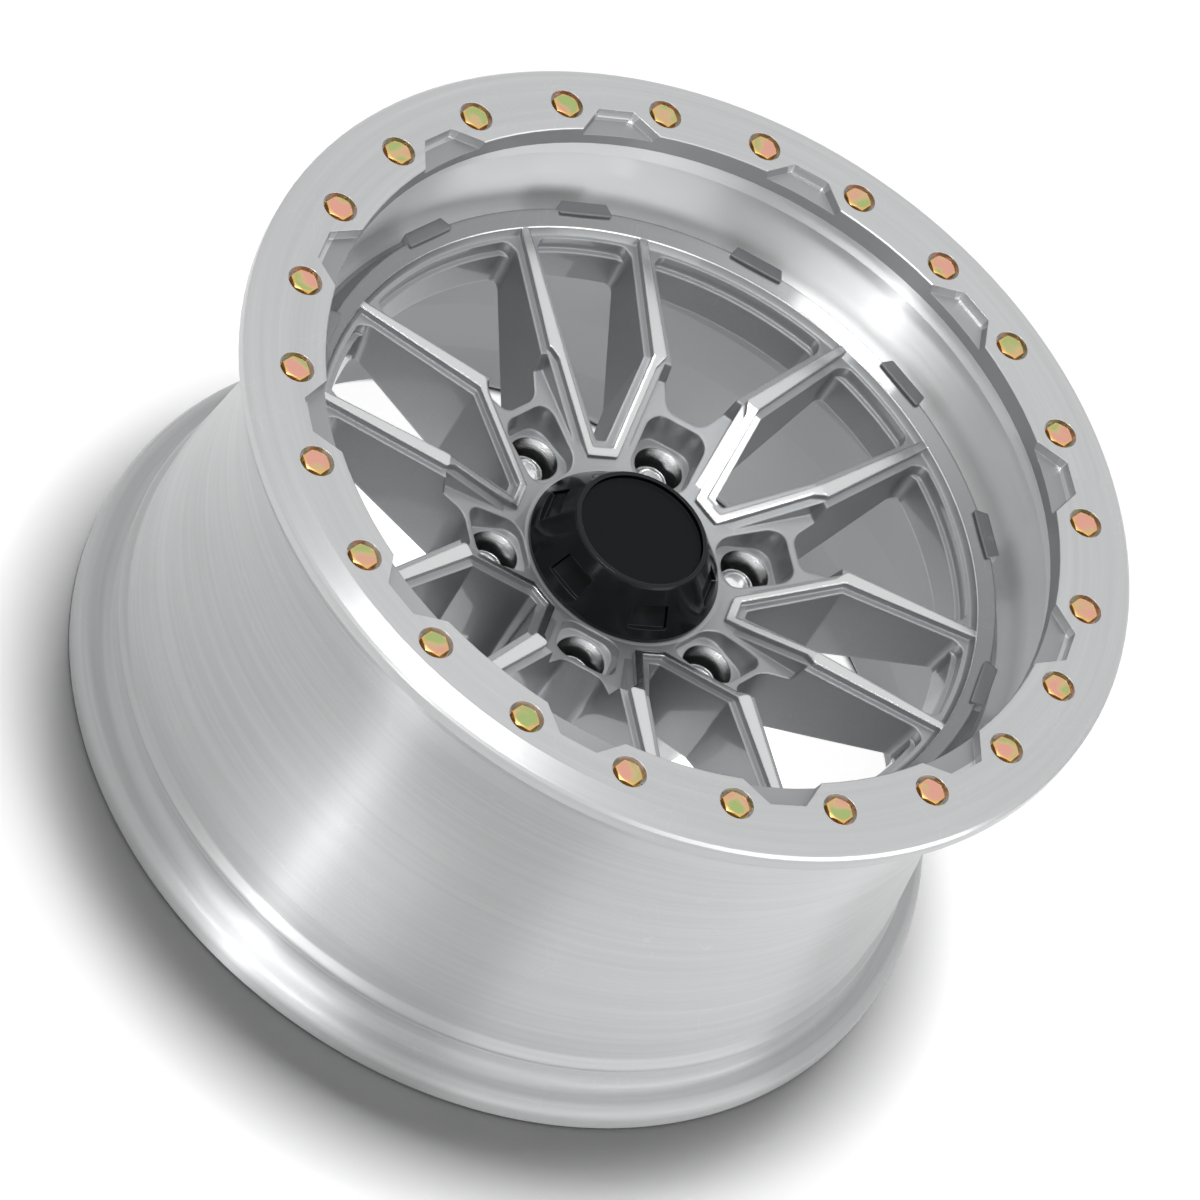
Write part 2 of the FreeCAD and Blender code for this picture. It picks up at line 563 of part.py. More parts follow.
# Beadlock ring
ring_turning = turned("RingTurning", [
    ("[ringBore]", "[wheelDepth] - [ringThick] + [ringEdge]"),
    ("[ringBore] + [ringEdge]", "[wheelDepth] - [ringThick]"),
    ("[ringRadius] - [ringEdge]", "[wheelDepth] - [ringThick]"),
    ("[ringRadius]", "[wheelDepth] - [ringThick] + [ringEdge]"),
    ("[ringRadius]", "[wheelDepth] - [ringBevelDrop] - 1.5 * [ringEdge]"),
    ("[ringRadius] - 1.5 * [ringEdge]", "[wheelDepth] - [ringBevelDrop]"),
    ("[ringRadius] - [ringBevelWidth]", "[wheelDepth]"),
    ("[ringBore] + 0.6 * [ringEdge]", "[wheelDepth]"),
    ("[ringBore]", "[wheelDepth] - 0.6 * [ringEdge]"),
])
notch_flare = (size("notchInnerHalf") - size("notchOuterHalf")) / (size("notchReach") - size("ringBore"))
notch_start = size("ringBore") - 8
notch_foot = size("notchInnerHalf") + notch_flare * (size("ringBore") - notch_start)
notch_half = [Vector(notch_start, -notch_foot, 0), Vector(size("notchReach"), -size("notchOuterHalf"), 0)]
notch = drafted_prism(mirrored(notch_half), 1.5, height(size("notchDepth")), height(-1), 14.0, height(0))
notches = feature("Notches", Part.makeCompound(around(notch, size("notchCount"))))
bore_depth = size("washerThick") + size("boltHead")
bolt_place = Vector(size("boltCircle"), 0, 0)
bolt_pocket = Part.makeCylinder(size("counterbore"), bore_depth + 1, bolt_place + Vector(0, 0, height(bore_depth)))
clear_hole = Part.makeCylinder(size("boltShank") + size("boltClear"), size("ringThick") + 2,
                               bolt_place + Vector(0, 0, height(size("ringThick") + 1)))
bolt_holes = feature("BoltHoles", Part.makeCompound(around(bolt_pocket.fuse(clear_hole), size("boltCount"),
                                                           size("boltPhase"))))
ring = cut_in_turn("beadlock_ring", ring_turning, [notches, bolt_holes])


def hexagon(across, low, tall, centre):
    """An upright hexagonal prism."""
    corner = across / math.sqrt(3)
    points = [Vector(corner * math.cos(math.radians(60 * k)), corner * math.sin(math.radians(60 * k)), low)
              for k in range(6)]
    face = Part.Face(Part.makePolygon([p + centre for p in points + points[:1]]))
    return face.extrude(Vector(0, 0, tall))


def lathe(points, centre):
    """A solid of revolution about an upright axis through a centre; points are (radius, height)."""
    corners = [centre + Vector(x, 0, z) for x, z in points]
    face = Part.Face(Part.makePolygon(corners + corners[:1]))
    return face.revolve(centre, Vector(0, 0, 1), 360)


# Ring bolts and their washers
head_foot = height(size("boltHead"))
head_corner = size("boltAcross") / math.sqrt(3)
chamfer = head_corner - size("boltAcross") / 2 + 0.25
crown = lathe([(0, head_foot), (head_corner + 1, head_foot), (head_corner + 1, height(chamfer * 0.6 + 0.5)),
               (head_corner - chamfer, height(0)), (0, height(0))], bolt_place)
head = hexagon(size("boltAcross"), head_foot, size("boltHead"), bolt_place).common(crown)
shank_length = size("washerThick") + size("ringThick") - bore_depth + size("boltReach")
shank = Part.makeCylinder(size("boltShank"), shank_length, bolt_place + Vector(0, 0, head_foot - shank_length))
bolt = head.fuse(shank).removeSplitter()
ring_bolts = feature("RingBolts", Part.makeCompound(around(bolt, size("boltCount"), size("boltPhase"))))
ring_bolts.Label = "ring_bolts"
washer_inner = size("boltShank") + size("boltClear")
washer_low = height(bore_depth)
washer = lathe([(washer_inner, washer_low), (size("washerRadius"), washer_low),
                (size("washerRadius"), washer_low + size("washerThick")),
                (washer_inner, washer_low + size("washerThick"))], bolt_place)
ring_washers = feature("RingWashers", Part.makeCompound(around(washer, size("boltCount"), size("boltPhase"))))
ring_washers.Label = "ring_washers"

# Closed-end lug nuts, seated on the cones of their wells
cone_drop = (size("lugSeatTop") - size("nutFoot")) / math.tan(math.radians(30))
collar_low = seat_level - (size("lugSeatTop") - size("nutCollar")) / math.tan(math.radians(30))
nut_foot = seat_level - cone_drop
nut_top = nut_foot + size("nutLength")
collar_top = collar_low + size("nutCollarHeight")
nut_corner = size("nutAcross") / math.sqrt(3)
base = lathe([(0, nut_foot), (size("nutFoot"), nut_foot), (size("nutCollar"), collar_low),
              (size("nutCollar"), collar_top), (0, collar_top)], lug_place)
crown_foot = nut_top - size("nutCrown")
body = hexagon(size("nutAcross"), collar_top, nut_top - collar_top, lug_place)
dome = lathe([(0, collar_top), (nut_corner + 1, collar_top), (nut_corner + 1, crown_foot - 0.6),
              (nut_corner - 1.6, crown_foot + 1.0), (nut_corner * 0.55, nut_top - 0.7), (nut_corner * 0.2, nut_top),
              (0, nut_top)], lug_place)
thread = Part.makeCylinder(size("nutThread"), size("nutThreadDepth"), lug_place + Vector(0, 0, nut_foot))
nut = base.fuse(body.common(dome)).cut(thread).removeSplitter()
lug_nuts = feature("LugNuts", Part.makeCompound(around(nut, size("spokeCount"))))
lug_nuts.Label = "lug_nuts"

# Centre cap: a conical shell with recesses around it, a well for the disc and snap legs in the cap bore
cap_low = height(size("hubSetback"))
cap_high = cap_low + size("capHeight")
lip_top = cap_low + size("capLip")
well_radius = size("capTop") - size("capRim")
well_floor = cap_high - size("capRecess")
well_back = well_floor - size("capWall")
leg_outer = size("capBore") - size("legGap")
leg_inner = leg_outer - size("legThick")
shell = lathe([
    (leg_inner, cap_low),
    (size("capBase"), cap_low),
    (size("capBase"), lip_top),
    (size("capTop"), cap_high - size("capEdge")),
    (size("capTop") - size("capEdge"), cap_high),
    (well_radius, cap_high),
    (well_radius, well_floor),
    (0, well_floor),
    (0, well_back),
    (well_radius - size("capEdge"), well_back),
    (leg_inner, lip_top + size("capEdge")),
], Vector(0, 0, 0))
cone_run = size("capBase") - size("capTop")
cone_fall = cap_high - size("capEdge") - lip_top
cone_tilt = math.degrees(math.atan2(cone_fall, cone_run))
recess_reach = size("capPocketLength") / 2
recess_half = [Vector(-recess_reach, -size("capPocketTop") / 2, 0),
               Vector(recess_reach, -size("capPocketFoot") / 2, 0)]
recess = drafted_prism(mirrored(recess_half), 0.8, -size("capPocketDepth"), 6, 15.0, 0)
recess.Placement = Placement(Vector(size("capBase") - cone_run * size("capPocketPlace"), 0,
                                    lip_top + cone_fall * size("capPocketPlace")),
                             Rotation(Vector(0, 1, 0), cone_tilt))
leg_low = cap_low - size("legLength")
hook_top = cap_low - size("capBoreDepth") - size("legGap")
leg_round = lathe([
    (leg_inner, cap_low + size("capEdge")),
    (leg_inner, leg_low),
    (leg_outer - size("legHook") / 2, leg_low),
    (leg_outer + size("legHook"), leg_low + size("legHook")),
    (leg_outer + size("legHook"), hook_top - size("legHook") / 2),
    (leg_outer, hook_top),
    (leg_outer, cap_low + size("capEdge")),
], Vector(0, 0, 0))
leg_box = Part.makeBox(size("capBase"), size("legWidth"), size("legLength") + size("capLip"),
                       Vector(0, -size("legWidth") / 2, leg_low))
legs = around(leg_round.common(leg_box), size("legCount"))
recesses = around(recess, size("capPockets"), half_step)
centre_cap = feature("CentreCap", shell.cut(recesses).fuse(legs))
centre_cap.Label = "centre_cap"

# Plain disc in the cap, and the wire ring that spreads the legs
cap_disc = feature("CapDisc", Part.makeCylinder(well_radius - size("discGap"), size("discThick"),
                                                Vector(0, 0, well_floor)))
cap_disc.Label = "cap_disc"
clip_radius = leg_inner - size("clipWire")
clip_level = leg_low + 3 * size("clipWire")
cap_clip = feature("CapClip", Part.makeTorus(clip_radius, size("clipWire"), Vector(0, 0, clip_level)))
cap_clip.Label = "cap_clip_ring"

doc.recompute()

SUBPARTS = [casting, ring, ring_bolts, ring_washers, lug_nuts, centre_cap, cap_disc, cap_clip]
for item in doc.Objects:
    if "Invalid" in item.State or "Error" in item.State:
        raise SystemExit(f"{item.Name} failed: {item.State}")
for item in SUBPARTS:
    if item.Shape.isNull() or not item.Shape.isValid():
        raise SystemExit(f"{item.Label} has no valid shape")
for item in SUBPARTS:
    item.Shape.exportStep(f"parts/{item.Label}.step")
    print(item.Label, len(item.Shape.Solids), "solids", round(item.Shape.Volume), "mm3")
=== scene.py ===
import bmesh
import bpy
import math
from mathutils import Matrix, Vector


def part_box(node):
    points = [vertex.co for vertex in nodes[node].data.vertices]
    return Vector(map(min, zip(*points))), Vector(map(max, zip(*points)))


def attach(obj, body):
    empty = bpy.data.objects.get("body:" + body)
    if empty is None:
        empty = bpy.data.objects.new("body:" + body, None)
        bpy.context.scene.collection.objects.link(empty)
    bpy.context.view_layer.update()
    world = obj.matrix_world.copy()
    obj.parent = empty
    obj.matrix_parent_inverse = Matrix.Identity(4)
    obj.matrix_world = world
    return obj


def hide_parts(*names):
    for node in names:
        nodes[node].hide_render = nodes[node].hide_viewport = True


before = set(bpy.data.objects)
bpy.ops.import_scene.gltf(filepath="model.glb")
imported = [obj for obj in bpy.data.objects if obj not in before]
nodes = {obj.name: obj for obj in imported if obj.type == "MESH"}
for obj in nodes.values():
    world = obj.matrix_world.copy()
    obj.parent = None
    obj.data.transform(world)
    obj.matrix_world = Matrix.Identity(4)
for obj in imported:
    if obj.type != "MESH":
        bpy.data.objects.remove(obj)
scene = bpy.context.scene
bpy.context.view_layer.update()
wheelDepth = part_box("beadlock_ring")[1].z  # front face of the ring above the floor
mm = 0.001
mergeDistance = 0.002 * mm
print("frame loaded:", len(nodes), "nodes")

# Camera: looks down on the face, rolled as the photograph is
view = {
    "place": (1.5492, 1.9142, 2.7513),
    "aim": (-0.0002, 0.0040, 0.1280),
    "roll": 34.8,
    "lens": 215.15,
    "sensor": 36.0,
    "near": 0.5,
    "far": 30.0,
}
cameraData = bpy.data.cameras.new("photoCamera")
cameraData.lens = view["lens"]
cameraData.sensor_width = view["sensor"]
cameraData.clip_start = view["near"]
cameraData.clip_end = view["far"]
camera = bpy.data.objects.new("photoCamera", cameraData)
scene.collection.objects.link(camera)
sight = Vector(view["aim"]) - Vector(view["place"])
camera.matrix_world = (Matrix.Translation(view["place"]) @ sight.to_track_quat("-Z", "Y").to_matrix().to_4x4()
                       @ Matrix.Rotation(math.radians(view["roll"]), 4, "Z"))
scene.camera = camera
scene.view_settings.view_transform = "Standard"


# Node helpers, for shader trees and geometry trees alike
def setInputs(tree, node, inputs):
    for key, value in inputs.items():
        if isinstance(value, bpy.types.NodeSocket):
            tree.links.new(value, node.inputs[key])
        else:
            node.inputs[key].default_value = value


def addNode(tree, kind, inputs=None, **settings):
    node = tree.nodes.new(kind)
    for key, value in settings.items():
        setattr(node, key, value)
    setInputs(tree, node, inputs or {})
    return node


def mathNode(tree, operation, first, second=0.0, clamp=False):
    return addNode(tree, "ShaderNodeMath", {0: first, 1: second}, operation=operation, use_clamp=clamp).outputs[0]


def times(tree, first, second):
    return mathNode(tree, "MULTIPLY", first, second)


def minus(tree, first, second):
    return mathNode(tree, "SUBTRACT", first, second)


def below(tree, value, limit):
    return mathNode(tree, "LESS_THAN", value, limit)


def spread(tree, value, low, high, toLow, toHigh):
    node = addNode(tree, "ShaderNodeMapRange", {"Value": value, "From Min": low, "From Max": high,
                                                "To Min": toLow, "To Max": toHigh})
    return node.outputs["Result"]


# A noise or streak value, which lies between 0.3 and 0.7 for the most part, brought to a range
def vary(tree, value, low, high):
    return spread(tree, value, 0.3, 0.7, low, high)


def noise(tree, vector, scale, detail=2.0):
    return addNode(tree, "ShaderNodeTexNoise", {"Vector": vector, "Scale": scale, "Detail": detail}).outputs["Fac"]


def roundedNormal(tree, radius, samples=6):
    return addNode(tree, "ShaderNodeBevel", {"Radius": radius}, samples=samples).outputs["Normal"]


def mixColor(tree, factor, first, second):
    first, second = ((*value, 1.0) if isinstance(value, tuple) else value for value in (first, second))
    mix = addNode(tree, "ShaderNodeMix", {"Factor": factor, "A": first, "B": second}, data_type="RGBA")
    return mix.outputs["Result"]


def mixValue(tree, factor, first, second):
    mix = addNode(tree, "ShaderNodeMix", {"Factor": factor, "A": first, "B": second}, data_type="FLOAT")
    return mix.outputs["Result"]


def newMaterial(name):
    material = bpy.data.materials.new(name)
    material.use_nodes = True
    tree = material.node_tree
    return material, tree, tree.nodes["Principled BSDF"]


def newGroup(name, inputs, outputs):
    group = bpy.data.node_groups.new(name, "ShaderNodeTree")
    for label, value in inputs.items():
        kind = "NodeSocketVector" if isinstance(value, tuple) else "NodeSocketFloat"
        socket = group.interface.new_socket(label, in_out="INPUT", socket_type=kind)
        socket.default_value = value
    for label in outputs:
        kind = "NodeSocketVector" if label == "Point" else "NodeSocketFloat"
        group.interface.new_socket(label, in_out="OUTPUT", socket_type=kind)
    return group, group.nodes.new("NodeGroupInput").outputs, group.nodes.new("NodeGroupOutput").inputs


def useGroup(tree, group, inputs=None):
    return addNode(tree, "ShaderNodeGroup", inputs, node_tree=group)


# Distance from the axis, height and angle, from Object coordinates
def makePlaceGroup():
    group, _, out = newGroup("wheelPlace", {}, ["Radius", "Height", "Angle", "Point"])
    point = addNode(group, "ShaderNodeTexCoord").outputs["Object"]
    parts = addNode(group, "ShaderNodeSeparateXYZ", {0: point}).outputs
    flat = addNode(group, "ShaderNodeCombineXYZ", {0: parts[0], 1: parts[1]}).outputs[0]
    radius = addNode(group, "ShaderNodeVectorMath", {0: flat}, operation="LENGTH").outputs["Value"]
    group.links.new(radius, out["Radius"])
    group.links.new(parts[2], out["Height"])
    group.links.new(mathNode(group, "ARCTAN2", parts[1], parts[0]), out["Angle"])
    group.links.new(point, out["Point"])
    return group


# Rings that a lathe tool leaves, and the broken streaks that run with them
turning = {"streakScale": 260.0, "streakDetail": 5.0, "streakRoughness": 0.65}


def makeTurningGroup():
    group, given, out = newGroup("turningMarks", {"Pitch": 1500.0, "Streak Length": 0.05}, ["Rings", "Streaks"])
    radius, height, angle = useGroup(group, placeGroup).outputs[:3]
    across = addNode(group, "ShaderNodeCombineXYZ", {0: radius, 1: height}).outputs[0]
    swept = times(group, angle, given["Streak Length"])
    sweep = addNode(group, "ShaderNodeCombineXYZ", {0: radius, 1: height, 2: swept}).outputs[0]
    streaks = addNode(group, "ShaderNodeTexNoise", {"Vector": sweep, "Scale": turning["streakScale"],
                                                    "Detail": turning["streakDetail"],
                                                    "Roughness": turning["streakRoughness"]})
    group.links.new(noise(group, across, given["Pitch"]), out["Rings"])
    group.links.new(streaks.outputs["Fac"], out["Streaks"])
    return group


# Where the rounded normal leaves the flat one, the finish is worn thin and brighter, and this also paints a glint along
# every rounded edge
def makeEdgeGroup():
    group, given, out = newGroup("edgeWearAndGlint", {"Rounded": (0, 0, 0), "Gain": 3.0}, ["Mask"])
    flat = addNode(group, "ShaderNodeNewGeometry").outputs["Normal"]
    same = addNode(group, "ShaderNodeVectorMath", {0: flat, 1: given["Rounded"]}, operation="DOT_PRODUCT")
    turned = minus(group, 1.0, same.outputs["Value"])
    group.links.new(mathNode(group, "MULTIPLY", turned, given["Gain"], clamp=True), out["Mask"])
    return group


# Distance to the nearest of several points set evenly on a circle about the axis
def makeNearestGroup():
    group, given, out = newGroup("nearestOnCircle", {"Step": 1.0, "First Angle": 0.0, "Circle Radius": 0.1},
                                 ["Distance"])
    radius, _, angle = useGroup(group, placeGroup).outputs[:3]
    shifted = minus(group, angle, given["First Angle"])
    whole = mathNode(group, "ROUND", mathNode(group, "DIVIDE", shifted, given["Step"]))
    turn = minus(group, shifted, times(group, whole, given["Step"]))
    along = minus(group, times(group, radius, mathNode(group, "COSINE", turn)), given["Circle Radius"])
    side = times(group, radius, mathNode(group, "SINE", turn))
    arm = addNode(group, "ShaderNodeCombineXYZ", {0: along, 1: side}).outputs[0]
    away = addNode(group, "ShaderNodeVectorMath", {0: arm}, operation="LENGTH").outputs["Value"]
    group.links.new(away, out["Distance"])
    return group


# Fine scratches that lie every way, faint and few: cell borders of a bent pattern, kept in patches
scratch = {"bendScale": 14.0, "bend": 0.05, "width": 0.012, "patchScale": 23.0, "patchFrom": 0.56}


def makeScratchGroup():
    group, given, out = newGroup("fineScratches", {"Scale": 60.0, "Amount": 0.5}, ["Mask"])
    point = useGroup(group, placeGroup).outputs["Point"]
    bend = addNode(group, "ShaderNodeTexNoise", {"Vector": point, "Scale": scratch["bendScale"], "Detail": 2.0})
    pushed = addNode(group, "ShaderNodeVectorMath", {0: bend.outputs["Color"], "Scale": scratch["bend"]},
                     operation="SCALE")
    moved = addNode(group, "ShaderNodeVectorMath", {0: point, 1: pushed.outputs[0]}, operation="ADD")
    lines = addNode(group, "ShaderNodeTexVoronoi", {"Vector": moved.outputs[0], "Scale": given["Scale"]},
                    feature="DISTANCE_TO_EDGE")
    thin = below(group, lines.outputs["Distance"], scratch["width"])
    where = mathNode(group, "GREATER_THAN", noise(group, point, scratch["patchScale"]), scratch["patchFrom"])
    group.links.new(times(group, times(group, thin, where), given["Amount"]), out["Mask"])
    return group


placeGroup = makePlaceGroup()
turningGroup = makeTurningGroup()
edgeWearGlintGroup = makeEdgeGroup()
nearestGroup = makeNearestGroup()
scratchGroup = makeScratchGroup()


# A geometry tree works on the object's own mesh, with named sizes and a material
def newTree(name, inputs):
    tree = bpy.data.node_groups.new(name, "GeometryNodeTree")
    tree.interface.new_socket("Geometry", in_out="INPUT", socket_type="NodeSocketGeometry")
    for label, value in inputs.items():
        kind = "NodeSocketInt" if isinstance(value, int) else "NodeSocketFloat"
        tree.interface.new_socket(label, in_out="INPUT", socket_type=kind).default_value = value
    tree.interface.new_socket("Material", in_out="INPUT", socket_type="NodeSocketMaterial")
    tree.interface.new_socket("Geometry", in_out="OUTPUT", socket_type="NodeSocketGeometry")
    return tree, tree.nodes.new("NodeGroupInput").outputs


def finishTree(tree, given, geometry):
    real = addNode(tree, "GeometryNodeRealizeInstances", {"Geometry": geometry})
    painted = addNode(tree, "GeometryNodeSetMaterial", {"Geometry": real.outputs[0], "Material": given["Material"]})
    tree.links.new(painted.outputs[0], tree.nodes.new("NodeGroupOutput").inputs[0])
    return tree


# Spins the object's own outline about the wheel's axis
def makeLatheTree():
    tree, given = newTree("turnOutline", {"Segments": 64, "Outline Points": 8})
    rows = mathNode(tree, "ADD", given["Segments"], 1.0)
    grid = addNode(tree, "GeometryNodeMeshGrid", {"Vertices X": rows, "Vertices Y": given["Outline Points"]})
    index = addNode(tree, "GeometryNodeInputIndex").outputs[0]
    onOutline = mathNode(tree, "MODULO", index, given["Outline Points"])
    row = mathNode(tree, "FLOOR", mathNode(tree, "DIVIDE", index, given["Outline Points"]))
    place = addNode(tree, "GeometryNodeInputPosition").outputs[0]
    picked = addNode(tree, "GeometryNodeSampleIndex",
                     {"Geometry": given["Geometry"], "Value": place, "Index": onOutline}, data_type="FLOAT_VECTOR")
    angle = times(tree, mathNode(tree, "DIVIDE", row, given["Segments"]), math.tau)
    spun = addNode(tree, "ShaderNodeVectorRotate", {"Vector": picked.outputs["Value"], "Angle": angle},
                   rotation_type="Z_AXIS")
    moved = addNode(tree, "GeometryNodeSetPosition", {"Geometry": grid.outputs["Mesh"], "Position": spun.outputs[0]})
    closed = addNode(tree, "GeometryNodeMergeByDistance", {"Geometry": moved.outputs[0], "Distance": mergeDistance})
    smooth = addNode(tree, "GeometryNodeSetShadeSmooth", {"Geometry": closed.outputs[0], "Shade Smooth": True})
    return finishTree(tree, given, smooth.outputs[0])


# Sets copies of the object's own mesh on a circle
def makeCircleTree():
    tree, given = newTree("setOnCircle", {"Count": 6, "Circle Radius": 0.1, "First Angle": 0.0, "Height": 0.0,
                                          "Follow": 0.0, "Wobble": 0.0, "Seed": 1})
    index = addNode(tree, "GeometryNodeInputIndex").outputs[0]
    share = mathNode(tree, "DIVIDE", index, given["Count"])
    angle = mathNode(tree, "ADD", times(tree, share, math.tau), given["First Angle"])
    x = times(tree, mathNode(tree, "COSINE", angle), given["Circle Radius"])
    y = times(tree, mathNode(tree, "SINE", angle), given["Circle Radius"])
    place = addNode(tree, "ShaderNodeCombineXYZ", {0: x, 1: y, 2: given["Height"]}).outputs[0]
    points = addNode(tree, "GeometryNodePoints", {"Count": given["Count"], "Position": place}).outputs[0]
    chance = addNode(tree, "FunctionNodeRandomValue", {"Seed": given["Seed"]}, data_type="FLOAT").outputs[1]
    wobble = times(tree, minus(tree, chance, 0.5), given["Wobble"])
    turn = mathNode(tree, "ADD", times(tree, angle, given["Follow"]), wobble)
    turned = addNode(tree, "ShaderNodeCombineXYZ", {2: turn}).outputs[0]
    copies = addNode(tree, "GeometryNodeInstanceOnPoints",
                     {"Points": points, "Instance": given["Geometry"], "Rotation": turned})
    return finishTree(tree, given, copies.outputs[0])


latheTree = makeLatheTree()
circleTree = makeCircleTree()


def addObject(name, mesh):
    piece = bpy.data.objects.new(name, mesh)
    scene.collection.objects.link(piece)
    return piece


def applyTree(piece, tree, values):
    modifier = piece.modifiers.new(tree.name, "NODES")
    modifier.node_group = tree
    for item in tree.interface.items_tree:
        if item.in_out == "INPUT" and item.name in values:
            modifier[item.identifier] = values[item.name]
    applyModifiers(piece)


def applyModifiers(piece):
    bpy.context.view_layer.update()
    result = bpy.data.meshes.new_from_object(piece.evaluated_get(bpy.context.evaluated_depsgraph_get()))
    piece.modifiers.clear()
    piece.data = result


def markEdges(piece, degrees):
    piece.data.shade_smooth()
    piece.data.set_sharp_from_angle(angle=math.radians(degrees))


# A turned outline: corners are (radius, height, rounding), an arc adds points of its own
def arcBetween(start, end, radius, steps):
    a, b = Vector(start), Vector(end)
    chord = b - a
    side = Vector((-chord.y, chord.x)).normalized()
    half = chord.length / 2
    middle = (a + b) / 2 - side * math.copysign(math.sqrt(radius * radius - half * half), radius)
    first = math.atan2(a.y - middle.y, a.x - middle.x)
    sweep = math.atan2(b.y - middle.y, b.x - middle.x) - first
    sweep = (sweep + math.pi) % math.tau - math.pi
    angles = [first + sweep * step / steps for step in range(steps + 1)]
    return [(middle.x + abs(radius) * math.cos(t), middle.y + abs(radius) * math.sin(t), 0.0) for t in angles]


# A rounding takes up to a share of each side, and a shoulder point on the flat keeps the shading crisp
outlineRounding = {"sideShare": 0.4, "shoulder": 0.9}


def roundedOutline(corners, steps=4):
    sideShare = outlineRounding["sideShare"]
    outline = [Vector(corners[0][:2])]
    for before, corner, after in zip(corners, corners[1:], corners[2:]):
        at = Vector(corner[:2])
        if corner[2] == 0:
            outline.append(at)
            continue
        inWay = Vector(before[:2]) - at
        outWay = Vector(after[:2]) - at
        halfAngle = inWay.angle(outWay) / 2
        reach = min(corner[2] / math.tan(halfAngle), inWay.length * sideShare, outWay.length * sideShare)
        flatReach = reach * (1 + outlineRounding["shoulder"])
        radius = reach * math.tan(halfAngle)
        inWay.normalize()
        outWay.normalize()
        centre = at + (inWay + outWay).normalized() * (radius / math.sin(halfAngle))
        first = at + inWay * reach - centre
        last = at + outWay * reach - centre
        outline.append(at + inWay * flatReach)
        for step in range(steps + 1):
            share = step / steps
            arm = first.slerp(last, share) if first.angle(last) > 0.001 else first
            outline.append(centre + arm.normalized() * radius)
        outline.append(at + outWay * flatReach)
    outline.append(Vector(corners[-1][:2]))
    return outline


def turnPiece(name, outline, segments, material):
    mesh = bpy.data.meshes.new(name)
    mesh.from_pydata([(p.x * mm, 0.0, p.y * mm) for p in outline], [(n, n + 1) for n in range(len(outline) - 1)], [])
    piece = addObject(name, mesh)
    applyTree(piece, latheTree, {"Segments": segments, "Outline Points": len(outline), "Material": material})
    return piece


# A solid whose rings are given as functions of the angle, closed at both ends
def ringedMesh(name, rings, angles):
    work = bmesh.new()
    rows = []
    for ring in rings:
        row = []
        for angle in angles:
            radius, height = ring(angle)
            row.append(work.verts.new((radius * mm * math.cos(angle), radius * mm * math.sin(angle), height * mm)))
        rows.append(row)
    count = len(angles)
    for lower, upper in zip(rows, rows[1:]):
        for n in range(count):
            work.faces.new((lower[n], lower[(n + 1) % count], upper[(n + 1) % count], upper[n]))
    work.faces.new(rows[0][::-1])
    work.faces.new(rows[-1])
    bmesh.ops.recalc_face_normals(work, faces=work.faces[:])
    mesh = bpy.data.meshes.new(name)
    work.to_mesh(mesh)
    work.free()
    return mesh


def hexRadius(across, angle):
    return across / 2 / math.cos((angle + math.radians(30)) % math.radians(60) - math.radians(30))


def roundRing(radius, height):
    return lambda angle: (radius, height)


# A ring on six sides, drawn in and dropped a little; its height is a function of the radius
def hexRing(across, heightAt, drawnIn=0.0, drop=0.0):
    def ring(angle):
        radius = hexRadius(across, angle) - drawnIn
        return radius, heightAt(radius) - drop
    return ring


# Silver paint of the face, with a clear coat; the ribbons and the nut wells are cut to bare metal
silverPaint = {
    "paint": (0.33, 0.34, 0.35), "roughness": (0.49, 0.56), "metallic": 0.85,
    "coat": 0.9, "coatRoughness": 0.07,
    "edge": (0.52, 0.53, 0.54), "edgeGain": 1.1, "round": 1.8 * mm,
    "land": (0.23, 0.235, 0.24), "landRadius": 177.5 * mm, "landBlend": 2 * mm,
    "bare": (0.64, 0.645, 0.65), "bareRoughness": 0.24, "bareDepth": 0.55 * mm,
    "well": (0.92, 0.92, 0.92), "wellGroove": (0.60, 0.60, 0.60), "wellRoughness": 0.22, "grooveScale": 900.0,
    "flakeScale": 2600.0, "flakeRange": (0.35, 0.75), "flakeTint": 0.28, "flakeHeight": 0.12, "cloudScale": 9.0,
    "scratches": {"Scale": 130.0, "Amount": 0.08},
    "grainStrength": 0.5, "grainDepth": 0.1 * mm,
    "footRadius": 60 * mm, "footSetback": 91.0 * mm,
    "elbowRadius": 107 * mm, "elbowSetback": 62.0 * mm,
    "shoulderRadius": 178 * mm, "shoulderSetback": 58.2 * mm,
    "lugs": 6, "lugCircle": 69.85 * mm, "wellRadius": 13.45 * mm, "wellSetback": 100.6 * mm,
}


# The ribbons' top follows two straight slopes: foot to elbow, elbow to shoulder
def makeRibbonGroup():
    group, _, out = newGroup("ribbonTops", {}, ["Mask"])
    radius, height = useGroup(group, placeGroup).outputs[:2]
    foot = spread(group, radius, silverPaint["footRadius"], silverPaint["elbowRadius"],
                  wheelDepth - silverPaint["footSetback"], wheelDepth - silverPaint["elbowSetback"])
    rise = spread(group, radius, silverPaint["elbowRadius"], silverPaint["shoulderRadius"],
                  0.0, silverPaint["elbowSetback"] - silverPaint["shoulderSetback"])
    away = minus(group, height, mathNode(group, "ADD", foot, rise))
    near = below(group, mathNode(group, "ABSOLUTE", away), silverPaint["bareDepth"])
    inside = below(group, radius, silverPaint["shoulderRadius"])
    group.links.new(times(group, near, inside), out["Mask"])
    return group


def makeWellGroup():
    group, _, out = newGroup("nutWells", {}, ["Mask", "Depth"])
    height = useGroup(group, placeGroup).outputs["Height"]
    away = useGroup(group, nearestGroup, {"Step": math.tau / silverPaint["lugs"],
                                          "Circle Radius": silverPaint["lugCircle"]}).outputs[0]
    inWell = below(group, away, silverPaint["wellRadius"])
    deep = below(group, height, wheelDepth - silverPaint["wellSetback"])
    group.links.new(times(group, inWell, deep), out["Mask"])
    group.links.new(mathNode(group, "ADD", height, away), out["Depth"])
    return group


